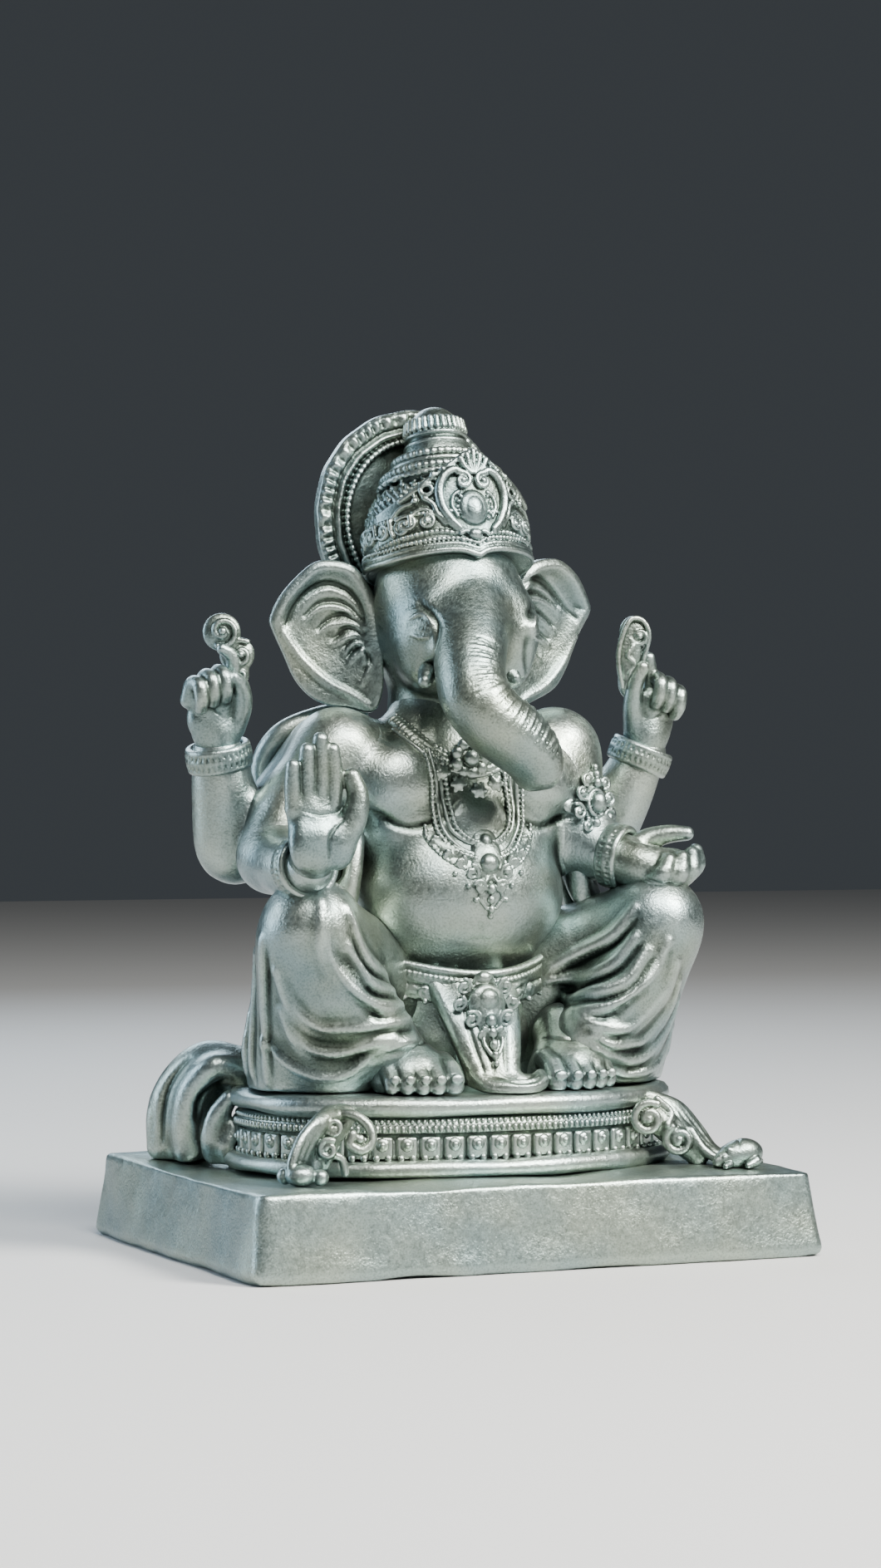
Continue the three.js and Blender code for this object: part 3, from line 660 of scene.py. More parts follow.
def build_seat():
    """The oval seat: a plain lip, a frieze of petals, a beaded moulding and a smooth top."""
    half_w, half_d, low, high = half_sizes("seat_lip")
    bm = bmesh.new()
    seat_ring(bm, half_w, half_d, [(6, low - 0.3), (1.2, low), (0.2, low + 1.2), (0, low + 2.4),
                                   (0.6, high - 0.9),
                                   (1.8, high), (6, high + 0.2)])
    wobble(bm, 24, 1.0, 1)
    finish(cast_of(bm, "seat_lip_cast"), "ornament_silver", "seat_lip")

    half_w, half_d, low, high = half_sizes("seat_petal_frieze")
    bm = bmesh.new()
    seat_ring(bm, half_w - 1.6, half_d - 1.6,
              [(3, low - 0.4), (0.2, low), (0, low + 3), (0.4, high), (3, high + 0.4)])
    add_copies(bm, petal_mesh(), outline_steps(half_w - 0.9, half_d - 0.9, 50), low + 3.4)
    finish(cast_of(bm, "seat_petals_cast"), "ornament_silver", "seat_petal_frieze")

    half_w, half_d, low, high = half_sizes("seat_bead_moulding")
    bm = bmesh.new()
    seat_ring(bm, half_w - 1.8, half_d - 1.8,
              [(3, low - 0.4), (0.1, low + 0.2), (0, low + 2), (0.5, high - 0.2),
                                               (3, high + 0.4)])
    for count, inset, rise, size in ((190, 1.5, 1.3, (0.85, 0.9, 1.25)), (200, 2.1, 3.4, (0.75, 0.75, 0.8))):
        add_copies(bm, bead_mesh(size), outline_steps(half_w - inset, half_d - inset, count), low + rise)
    finish(cast_of(bm, "seat_beads_cast"), "ornament_silver", "seat_bead_moulding")

    half_w, half_d, low, high = half_sizes("seat_top_plate")
    bm = bmesh.new()
    seat_ring(bm, half_w, half_d, [(8, low - 0.4), (2.6, low + 0.2), (0.9, low + 1), (0, low + 2.8),
                                   (0.3, high - 1.8),
                                   (1.3, high - 0.6), (3.5, high - 0.05), (9, high), (22, high), (38, high)])
    wobble(bm, 26, 1.3, 5)
    finish(cast_of(bm, "seat_top_cast", 0.4), "cloth_silver", "seat_top_plate")


def petal_mesh():
    """A rounded square petal with a ring embossed on it and two small toes below."""
    bm = bmesh.new()
    bmesh.ops.create_cube(bm, size=1)
    bmesh.ops.scale(bm, vec=(6.3 * MM, 2.4 * MM, 6.6 * MM), verts=bm.verts)
    bmesh.ops.bevel(bm, geom=bm.edges[:], offset=1.0 * MM, affect="EDGES", segments=3, profile=0.5,
                    material=-1)
    for size, centre in (((2.1, 0.9, 2.1), (0, 1.1, 0.9)), ((1.2, 1.3, 1.2), (0, 1.3, 0.9)),
                         ((1.1, 0.9, 1.1), (-1.7, 0.9, -3.0)), ((1.1, 0.9, 1.1), (1.7, 0.9, -3.0))):
        bump = bmesh.ops.create_icosphere(bm, subdivisions=2, radius=MM)["verts"]
        bmesh.ops.scale(bm, vec=size, verts=bump)
        bmesh.ops.translate(bm, vec=Vector(centre) * MM, verts=bump)
    return mesh_of(bm, "petal")


def bead_mesh(size):
    bm = bmesh.new()
    bmesh.ops.create_icosphere(bm, subdivisions=2, radius=MM)
    bmesh.ops.scale(bm, vec=size, verts=bm.verts)
    return mesh_of(bm, "bead")


def add_copies(bm, shape, places, height):
    """Sets copies of a small shape, modelled with +Y outward, round an outline."""
    for point, out in places:
        start = len(bm.verts)
        bm.from_mesh(shape)
        bm.verts.ensure_lookup_table()
        place(bm, bm.verts[start:], point * MM + Vector((0, 0, height * MM)), out)
    bpy.data.meshes.remove(shape)


# ---- tubes and ornaments, made in clay ----------------------------------------------------------
def ring_points(centre, axis, radii, count, start=0.0, sweep=360.0):
    """Points round an ellipse square to an axis, as an array."""
    frame_z = Vector(axis).normalized()
    frame_x = frame_z.cross(Vector((0, 1, 0.01))).normalized()
    frame_y = frame_z.cross(frame_x)
    angles = np.radians(start + sweep * np.arange(count) / max(count if sweep == 360 else count - 1, 1))
    return (np.array(centre, float) + np.outer(np.cos(angles) * radii[0], frame_x)
            + np.outer(np.sin(angles) * radii[1], frame_y))


def rope(clay, points, radius, pitch, blend=0.15):
    """A row of touching beads along a line, like twisted cord."""
    walked = curve(points, 0.2)
    steps = np.r_[0, np.cumsum(np.linalg.norm(np.diff(walked[:, :3], axis=0), axis=1))]
    count = max(int(steps[-1] / pitch), 2)
    for at in np.linspace(0, steps[-1], count):
        spot = [np.interp(at, steps, walked[:, i]) for i in range(3)]
        clay.ball(spot, radius, blend)


def tube(clay, points, radius, blend=0.2, step=0.6):
    """A cord of even thickness."""
    line = curve(points, step)
    clay.limb(np.column_stack([line[:, :3], np.full(len(line), radius)]), blend)


def spiral(centre, across, up, radius, turns=1.4, start=0.0, tail=0.25):
    """Points of a scroll that winds inwards, on the plane of two directions."""
    centre, across, up = (np.array(v, float) for v in (centre, across, up))
    share = np.linspace(0, 1, int(14 * turns))
    size = radius * (1 - (1 - tail) * share)
    angle = np.radians(start) + 2 * math.pi * turns * share
    return centre + np.outer(size * np.cos(angle), across) + np.outer(size * np.sin(angle), up)


def loop(points):
    """Closes a ring of points."""
    return np.vstack([points, points[:1]])


# ---- bangles -----------------------------------------------------------------------------------
BANGLES = {
    "bangle_rear_right": ((-69.8, 11.5, 146.5), (-0.22, -0.16, 0.96), 8.6, 5.4),
    "bangle_rear_left": ((68.8, 11.2, 146.8), (0.34, -0.18, 0.93), 8.6, 5.4),
    "bangle_front_right": ((-59.5, -31, 114.5), (0.05, -0.97, 0.12), 8.4, 4.6),
    "bangle_front_left": ((46.3, -18.5, 116.6), (0.62, -0.76, -0.16), 8.6, 4.6),
}


def build_bangles():
    """Broad bracelets: a row of ribs between two plain rims."""
    for name, (centre, axis, radius, width) in BANGLES.items():
        centre, axis = np.array(centre), np.array(Vector(axis).normalized())
        reach = radius + 4
        clay = Clay(centre - reach, centre + reach, 0.3)
        low, high = centre - axis * width / 2, centre + axis * width / 2
        tube(clay, loop(ring_points(centre, axis, (radius - 0.3, radius - 0.3), 40)), 1.7)
        for middle in (low, high):
            tube(clay, loop(ring_points(middle, axis, (radius, radius), 40)), 1.15)
        for spot in ring_points(centre, axis, (radius + 0.6, radius + 0.6), 34):
            clay.limb([(*(spot - axis * width * 0.3), 0.75), (*(spot + axis * width * 0.3), 0.75)], 0.2)
        finish(skin(clay, name + "_cast"), "ornament_silver", name)


# ---- hands -------------------------------------------------------------------------------------
def finger(clay, points, blend=1.2, nail=None):
    """A finger through [x, y, z, radius] joints, with an optional nail facing a direction."""
    clay.limb(points, blend, step=1.0)
    if nail is not None:
        tip = np.array(points[-1][:3]) + np.array(nail) * points[-1][3] * 0.75
        clay.ball(tip, (1.3, 1.3, 1.5), 0.3)


def build_blessing_hand():
    """Right front hand, raised with its palm to the viewer and the thumb apart."""
    clay = Clay((-76, -52, 104), (-42, -30, 160), 0.3)
    clay.limb([(-59.5, -34, 114.5, 6.6), (-60, -39.5, 118, 6.4), (-60, -41, 123, 5.6)], 0)
    clay.ball((-60, -41, 125), (8.2, 4.0, 9.5), 3)
    clay.ball((-60.8, -41, 131), (8.2, 3.6, 7), 2)
    clay.ball((-54, -43, 121.5), (5.2, 4.2, 7.6), 2)
    clay.ball((-64.4, -43, 121), (4.2, 3.2, 7), 2)
    finger(clay, [(-55.4, -41.4, 133, 3.0), (-55, -42.2, 141, 2.8), (-55.8, -43.2, 148, 2.3)], 0.8)
    finger(clay, [(-59.2, -41.2, 134, 3.1), (-58.8, -41.8, 143, 2.85), (-59.2, -42.8, 151, 2.3)], 0.8)
    finger(clay, [(-63.1, -41.2, 133.5, 2.9), (-63.1, -41.8, 141, 2.7), (-63.3, -42.8, 148, 2.2)], 0.8)
    finger(clay, [(-66.7, -41.2, 131.5, 2.6), (-67.3, -41.8, 138, 2.4), (-67.6, -42.6, 143.6, 2.0)], 0.8)
    finger(clay, [(-53, -42.4, 122, 4.6), (-49.4, -44, 129, 3.8), (-48.4, -44.2, 135, 3.2),
                  (-50, -43.8, 140.6, 2.5)], 1.5)
    clay.grooves([(-66, -46, 131.2), (-60, -46, 129.8), (-55, -46, 130.8)], 0.4, 0.4)
    clay.grooves([(-54, -47, 129.4), (-57.8, -47, 123.5), (-58, -47, 117)], 0.6, 0.45)
    finish(skin(clay, "hand_front_right_cast"), "skin_silver", "hand_front_right")


def build_offering_hand():
    """Left front hand, lying palm up with the fingertips curled."""
    clay = Clay((38, -46, 100), (84, -8, 130), 0.3)
    clay.limb([(46, -20, 116, 7.2), (50, -23, 115, 7.4)], 0)
    clay.ball((53, -25, 113.4), (9, 8.5, 7.0), 3, rotation=turn("Z", -18))
    clay.ball((58.5, -26.5, 113.4), (8.5, 8, 6.2), 3, rotation=turn("Z", -18))
    clay.ball((56, -25.5, 122.2), (7.5, 4.6, 3.0), 2.5, cut=True, rotation=turn("Z", -18))
    finger(clay, [(50, -19.5, 118, 4.2), (56, -20, 121.6, 3.3), (61.5, -23, 123.2, 2.8),
                  (66, -26, 123.4, 2.2)], 1.5)
    for base, middle, tip in (((52.5, -31.5, 109.8), (53.6, -35.2, 112.0), (55.8, -34.2, 115.6)),
                              ((56.8, -31.8, 109.6), (58.8, -35.4, 112.0), (60.4, -33.8, 116.2)),
                              ((61.2, -30.6, 110.2), (63.6, -33.4, 113.0), (64.8, -31.6, 117.4)),
                              ((64.4, -28, 111.6), (67.2, -30, 114.4), (67.8, -28.4, 118.2))):
        finger(clay, [(*base, 3.7), (*middle, 2.8), (*tip, 2.2)], 1.5)
    clay.grooves([(46, -34, 110), (52, -37, 107.6), (60, -36, 107.6)], 0.4, 0.35)
    finish(skin(clay, "hand_front_left_cast"), "skin_silver", "hand_front_left")


def build_rear_hands():
    """Raised rear hands, each closed round the foot of what it holds."""
    clay = Clay((-90, -10, 138), (-56, 22, 186), 0.3)
    clay.limb([(-70, 11.5, 146, 6.6), (-71, 10, 152, 6.6)], 0)
    clay.ball((-73, 8.5, 158), (7.8, 5.2, 8.5), 3)
    clay.ball((-74, 6.5, 164), (7.6, 5.2, 5.5), 2)
    finger(clay, [(-66.5, 8, 155, 3.6), (-65, 5, 161.5, 3.1), (-66.5, 2, 167, 2.6),
                  (-69.5, 0.5, 169.5, 2.1)], 1.5)
    for x, top in ((-80.5, 167.5), (-76.8, 169.4), (-73, 170.6)):
        finger(clay, [(x, 8, 163, 2.6), (x + 0.2, 5, top, 2.5), (x + 0.8, 0.8, top - 0.6, 2.3),
                      (x + 1.2, 0.2, top - 4.6, 2.1), (x + 1.6, 2, top - 7, 1.9)], 0.7)
    finger(clay, [(-69.5, 8, 164, 2.7), (-67.6, 5.5, 171, 2.5), (-68.5, 4.5, 176, 2.1),
                  (-71.5, 4.2, 178, 1.7)], 1)
    clay.grooves([(-77, 2, 160), (-72, 1.5, 158)], 0.4, 0.35)
    finish(skin(clay, "hand_rear_right_cast"), "skin_silver", "hand_rear_right")
    clay = Clay((54, -10, 138), (88, 22, 186), 0.3)
    clay.limb([(69, 10.5, 146, 6.6), (69.6, 9.5, 152, 6.6)], 0)
    clay.ball((71, 8.5, 158), (7.6, 5.2, 8.5), 3)
    clay.ball((72.5, 6.5, 164), (7.2, 5, 5.5), 2)
    finger(clay, [(65.5, 8, 156, 3.5), (63.8, 6, 162.5, 3), (63.6, 3.6, 169, 2.5), (65.5, 2.4, 174, 2)], 1.5)
    for x, top in ((78.2, 166.6), (75, 168.8), (71.6, 170)):
        finger(clay, [(x, 8, 162, 2.6), (x - 0.2, 5, top, 2.5), (x - 0.8, 0.8, top - 0.8, 2.3),
                      (x - 1.4, 0.4, top - 4.8, 2.1), (x - 1.8, 2.2, top - 7, 1.9)], 0.7)
    finger(clay, [(70, 8, 164, 2.6), (69.6, 5.5, 171, 2.4), (68.6, 4.4, 177, 1.9)], 1)
    clay.grooves([(74, 2.2, 160), (69, 1.8, 158)], 0.4, 0.35)
    finish(skin(clay, "hand_rear_left_cast"), "skin_silver", "hand_rear_left")


def build_attributes():
    """What the rear hands hold: small carved plates covered with scrolls."""
    across, up = (0.93, -0.36, 0), (0, 0, 1)
    clay = Clay((-84, -6, 164), (-56, 16, 192), 0.25)
    for centre, size in (((-71, 6, 183), 5.6), ((-66.2, 6, 176.5), 5.2), ((-66.6, 6, 170.5), 4.0)):
        clay.ball(centre, (size, 2.0, size), 1.5, rotation=turn("Z", -20))
    tube(clay, spiral((-71.4, 4.2, 183.2), across, up, 4.6, 1.2, 250), 0.8)
    tube(clay, spiral((-66.0, 4.0, 176.4), across, up, 4.4, 1.2, 60), 0.8)
    tube(clay, spiral((-66.2, 4.0, 170.4), across, up, 3.0, 1.0, 120), 0.6)
    clay.ball((-71.6, 3.6, 183.2), 1.2, 0.2)
    clay.ball((-66, 3.4, 176.4), 1.1, 0.2)
    finish(skin(clay, "attribute_right_cast"), "ornament_silver", "attribute_right")
    clay = Clay((50, -6, 160), (78, 16, 194), 0.25)
    for centre, size in (((64.2, 6, 184.4), (4.6, 2, 5.6)), ((62.6, 6, 178), (4.2, 2, 6)),
                         ((62.4, 6, 170), (3.4, 2, 5.6))):
        clay.ball(centre, size, 1.5, rotation=turn("Z", -20))
    outline = [(59.6, 4.6, 168), (58.4, 4.8, 175), (59, 4.6, 182), (62, 4, 188.6), (66, 3.4, 188.4),
               (68, 3, 184),
               (66.4, 3.4, 177), (65, 3.8, 171)]
    tube(clay, outline, 0.8)
    tube(clay, spiral((65, 3.8, 183.6), across, up, 2.9, 1.1, 200), 0.7)
    tube(clay, [(63, 4.2, 180.6), (61.4, 4.4, 177.6), (63.6, 4.2, 175), (62, 4.4, 172)], 0.8)
    clay.ball((65, 3.5, 183.6), 1.0, 0.2)
    finish(skin(clay, "attribute_left_cast"), "ornament_silver", "attribute_left")


# ---- ears and tusks ----------------------------------------------------------------------------
EAR_SIDES = {
    "right": [(2.4, 197), (6.7, 203), (12, 205), (19, 204.7), (25, 200), (30, 194), (32.7, 188), (32.3, 185),
              (28.7, 177), (25.4, 169.7), (20.8, 164.5), (15.3, 161.7), (9.3, 161), (2.4, 159.5), (-0.6, 163),
              (-1.6, 170), (-1, 180), (0, 190)],
    "left": [(5, 200), (8.6, 205), (14, 207), (21, 207), (28, 202.6), (32.6, 195.6), (33.7, 191.8),
             (31.6, 188),
             (28, 182), (24.5, 174), (19.3, 167.5), (10.6, 163.5), (5.5, 162), (0, 163), (-1.6, 170),
             (-1, 180),
             (0, 190)],
}


def inside_distance(outline, s, z):
    """Signed distance to a closed outline: negative inside. s and z are open grids."""
    best = np.full(np.broadcast(s, z).shape, 1e9)
    crossings = np.zeros(best.shape, int)
    for (s0, z0), (s1, z1) in zip(outline, np.roll(outline, -1, axis=0)):
        ds, dz = s1 - s0, z1 - z0
        t = np.clip(((s - s0) * ds + (z - z0) * dz) / (ds * ds + dz * dz + 1e-9), 0, 1)
        best = np.minimum(best, (s - s0 - t * ds) ** 2 + (z - z0 - t * dz) ** 2)
        between = ((z0 <= z) & (z < z1)) | ((z1 <= z) & (z < z0))
        crossings += between & (s < s0 + (z - z0) * ds / (dz if abs(dz) > 1e-9 else 1e-9))
    return np.sqrt(best) * np.where(crossings % 2, -1, 1)


EAR_FOLDS = {
    "right": [[(27, 186), (24.5, 191), (20, 195.6), (15.4, 197.4), (10.7, 196), (7.4, 192.4), (5.5, 188)],
              [(21.4, 188.4), (17.4, 191.8), (13.4, 192.4), (9.4, 191), (5.4, 186.6)],
              [(17.4, 184.8), (14.7, 187.3), (10.7, 187.7), (7.4, 186.4), (4.8, 183.2)],
              [(13.7, 182.2), (10, 184), (6.7, 183.1), (4.5, 180.8)],
              [(10.4, 179.5), (7.4, 181.5), (4.6, 180)], [(9, 176.4), (6.7, 179), (4.4, 179.4)],
              [(4, 179), (3.4, 175.8), (4.4, 171.8), (5, 170)]],
    "left": [[(27, 189.4), (22.8, 193), (17.2, 198), (12.6, 200), (6.5, 199.8), (2, 197)],
             [(20.9, 192.4), (17.2, 194.4), (12.6, 196), (7, 195.6), (2.5, 193)],
             [(19.1, 186.8), (15.3, 189.9), (10.7, 191.4), (6.5, 191.2), (2, 189)],
             [(17.2, 183.2), (11.6, 186.4), (6.5, 187.2), (2, 185.5)],
             [(13.5, 178), (9.8, 182.5), (5.6, 183.8), (2, 183)],
             [(7.5, 175), (6.5, 177.2), (4.6, 180.4), (2, 181)]],
}


def build_ears():
    """Broad ears with a rolled upper rim and folds that arch out from the root."""
    for side, word in ((-1, "right"), (1, "left")):
        corners = [(s, 0, z) for s, z in EAR_SIDES[word]]
        outline = curve(np.array(corners + corners[:1]), 1.5)[:-1, ::2]
        root, out = np.array((side * 21, 6.0)), np.array((side * 0.952, 0.305))

        def spot(s, z, forward=0.0):
            return (root[0] + out[0] * s + side * out[1] * forward,
                    root[1] + out[1] * s - side * out[0] * forward, z)

        low_x, high_x = sorted((side * 16, side * 56))
        clay = Clay((low_x, -4, 155), (high_x, 26, 211), 0.35)
        x, y, z = (t.astype(np.float32) for t in clay.ticks)
        s = (x[:, None] - root[0]) * out[0] + (y[None, :] - root[1]) * out[1]
        depth = -(x[:, None] - root[0]) * out[1] * side + (y[None, :] - root[1]) * out[0] * side
        table_s, table_z = np.arange(-6, 40, 0.5), np.arange(154, 212, 0.5)
        table = inside_distance(outline, table_s[:, None], table_z[None, :])
        at_s = np.clip((s - table_s[0]) / 0.5, 0, len(table_s) - 1.01)
        at_z = np.clip((z - table_z[0]) / 0.5, 0, len(table_z) - 1.01)
        i, j = at_s.astype(int)[:, :, None], at_z.astype(int)[None, None, :]
        fi, fj = (at_s - at_s.astype(int))[:, :, None], (at_z - at_z.astype(int))[None, None, :]
        rim = (table[i, j] * (1 - fi) * (1 - fj) + table[i + 1, j] * fi * (1 - fj)
               + table[i, j + 1] * (1 - fi) * fj + table[i + 1, j + 1] * fi * fj)
        s, depth, z = s[:, :, None], depth[:, :, None], z[None, None, :]
        bowl = 2.8 * np.exp(-(((s - 14) / 11) ** 2 + ((z - 186) / 14) ** 2))
        roll = 1.7 * np.exp(-((rim + 2.4) / 2.2) ** 2) * np.clip((z - 176) / 16, 0.12, 1)
        sheet = np.maximum(-depth - 1.1 - roll + bowl, depth - 1.3 - bowl * 0.8)
        outside = rim + 0.6
        clay.d = (np.hypot(np.maximum(outside, 0), np.maximum(sheet, 0))
                  + np.minimum(np.maximum(outside, sheet), 0)
                  - 0.5).astype(np.float32)
        for count, fold in enumerate(EAR_FOLDS[word]):
            clay.grooves([spot(a, b, 3) for a, b in fold], 1.0, 1.1 if count == 0 else 0.7)
            if count:
                clay.ridge([spot(a + 0.3, b - 1.9, 3) for a, b in fold], 0.7, 1.2, -0.2)
        clay.ridge([spot(28, 183, 3), spot(22, 175, 3), spot(15, 168.5, 3), spot(8, 165, 3),
                    spot(3, 161.5, 3)], 1.0, 1.6,
                   -0.2)
        finish(skin(clay, f"ear_{word}_cast"), "skin_silver", f"ear_{word}")


def build_tusks():
    """Short blunt tusks at the corners of the mouth, pointing outwards."""
    for word, root, middle, tip in (
            ("right", (-14, -16.5, 173, 2.7), (-16.8, -21, 170.8, 2.8), (-18.8, -24, 168.4, 2.1)),
            ("left", (10, -16.5, 172.6, 2.6), (11, -18.6, 171.2, 2.5), (11.8, -20.4, 169.8, 1.8))):
        clay = Clay((root[0] - 9, -34, 160), (root[0] + 9, -8, 182), 0.22)
        clay.limb([root, middle, tip], 0, step=0.5)
        finish(skin(clay, f"tusk_{word}_cast"), "skin_silver", f"tusk_{word}")


# ---- crown and halo ----------------------------------------------------------------------------
CROWN_FOOT = Vector((0, 2, 204))  # middle of the crown's lower edge
CROWN_LEAN = 14
CROWN_HALF = (25.0, 22.3)


def lean_back(piece):
    """Crown pieces are made upright round their own middle, then leant back on to the head."""
    move = Matrix.Translation(CROWN_FOOT * MM) @ Matrix.Rotation(math.radians(-CROWN_LEAN), 4, "X")
    piece.data.transform(move)
    return piece


def before_halo(x, y, z):
    """Negative in front of the halo, in the crown's own upright frame."""
    lean = math.radians(CROWN_LEAN)
    return y * math.cos(lean) + z * math.sin(lean) - (HALO_MIDDLE[1] - 0.4 - CROWN_FOOT.y) + 0 * x


def crown_point(x, height, lift=0.0):
    """A point on the front of the crown, in the crown's own upright frame."""
    half_x, half_y = CROWN_HALF[0] + lift, CROWN_HALF[1] + lift
    x = min(max(x, -half_x + 0.05), half_x - 0.05)
    return x, -half_y * math.sqrt(1 - (x / half_x) ** 2), height


def crown_line(points, lift=0.8):
    """Points on the front of the crown from [across, height] pairs."""
    flat = curve(np.array([(x, h, 0) for x, h in points], float), 0.5)
    return np.array([crown_point(x, h, lift) for x, h, _ in flat])


def scroll_on_crown(clay, x, height, radius, size, start, turns=1.3, hand=1):
    line = [(x + hand * dx, height + dz) for dx, dz,
            _ in spiral((0, 0, 0), (1, 0, 0), (0, 1, 0), radius, turns,
                                                                 start)]
    tube(clay, np.array([crown_point(a, b, 0.9) for a, b in line]), size)
    clay.ball(crown_point(x, height, 1.0), size * 1.3, 0.2)


def crest_top(x):
    """Height of the crest's gable."""
    return np.interp(np.abs(x - 1.0), (0, 3, 8, 15, 20, 25), (29.5, 28.2, 24.5, 20.0, 16.5, 13.5))


def lower_edge(x):
    """Height of the crown's lower edge, which dips to a point over the brow."""
    return -2.0 - 2.6 * np.exp(-np.abs(x + 0.5) / 3.0) + 0.04 * x


def build_crown():
    build_crown_band()
    build_crown_crest()
    build_crown_dome()


def build_crown_band():
    """Lower band: two plain mouldings, a bead row and a frieze of small scrolls."""
    clay = Clay((-28, -26, -7), (28, 26, 14), 0.28)
    half_x, half_y = CROWN_HALF

    def band(x, y, z):
        size = np.sqrt((x / half_x) ** 2 + (y / half_y) ** 2)
        foot = np.where(y < 4, lower_edge(x) * np.clip((4 - y) / 12, 0, 1) - 1.5
                        * (1 - np.clip((4 - y) / 12, 0, 1)), -1.5)
        return np.maximum((size - 1) * half_y, np.maximum(foot - z, z - BAND_TOP)) + 0 * x

    clay.d = np.minimum(clay.d, band(*clay.coords())).astype(np.float32)
    spots = ring_points((0, 0, 0), (0, 0, 1), (1, 1), 72)
    ring = []
    for spot in spots:
        x, y = spot[0] * half_x, spot[1] * half_y
        share = min(max((4 - y) / 12, 0), 1)
        ring.append((x, y, float(lower_edge(x)) * share - 1.5 * (1 - share)))
    ring = np.array(ring)
    for lift, rise, size in ((0.4, 0.7, 1.0), (0.3, 2.5, 0.85)):
        line = ring * (1 + lift / 25, 1 + lift / 22, 1) + (0, 0, rise)
        tube(clay, loop(line), size)
    rope(clay, loop(ring * (1.02, 1.02, 1) + (0, 0, 4.2)), 0.75, 1.35)
    rope(clay, loop(ring * (1.01, 1.01, 0) + (0, 0, BAND_TOP - 0.9)), 0.75, 1.35)
    for i, spot in enumerate(ring_points((0, 0, 5.8 + 1.6), (0, 0, 1), (half_x + 0.3, half_y + 0.3), 22, 4)):
        if spot[1] < -17:
            continue
        side = np.array((-spot[1], spot[0], 0)) / math.hypot(spot[0], spot[1])
        flip = 1 if i % 2 else -1
        tube(clay, spiral(spot, side * flip, (0, 0, 1), 2.6, 1.3, 200), 0.65)
        clay.ball(spot, 0.9, 0.2)
        clay.limb([(*(spot + side * 3.4 + (0, 0, -1.5)), 0.5), (*(spot + side * 3.4 + (0, 0, 2.2)), 0.9)],
                  0.3)
    clay.keep(before_halo)
    finish(lean_back(skin(clay, "crown_band_cast")), "ornament_silver", "crown_band")


BAND_TOP = 11.0


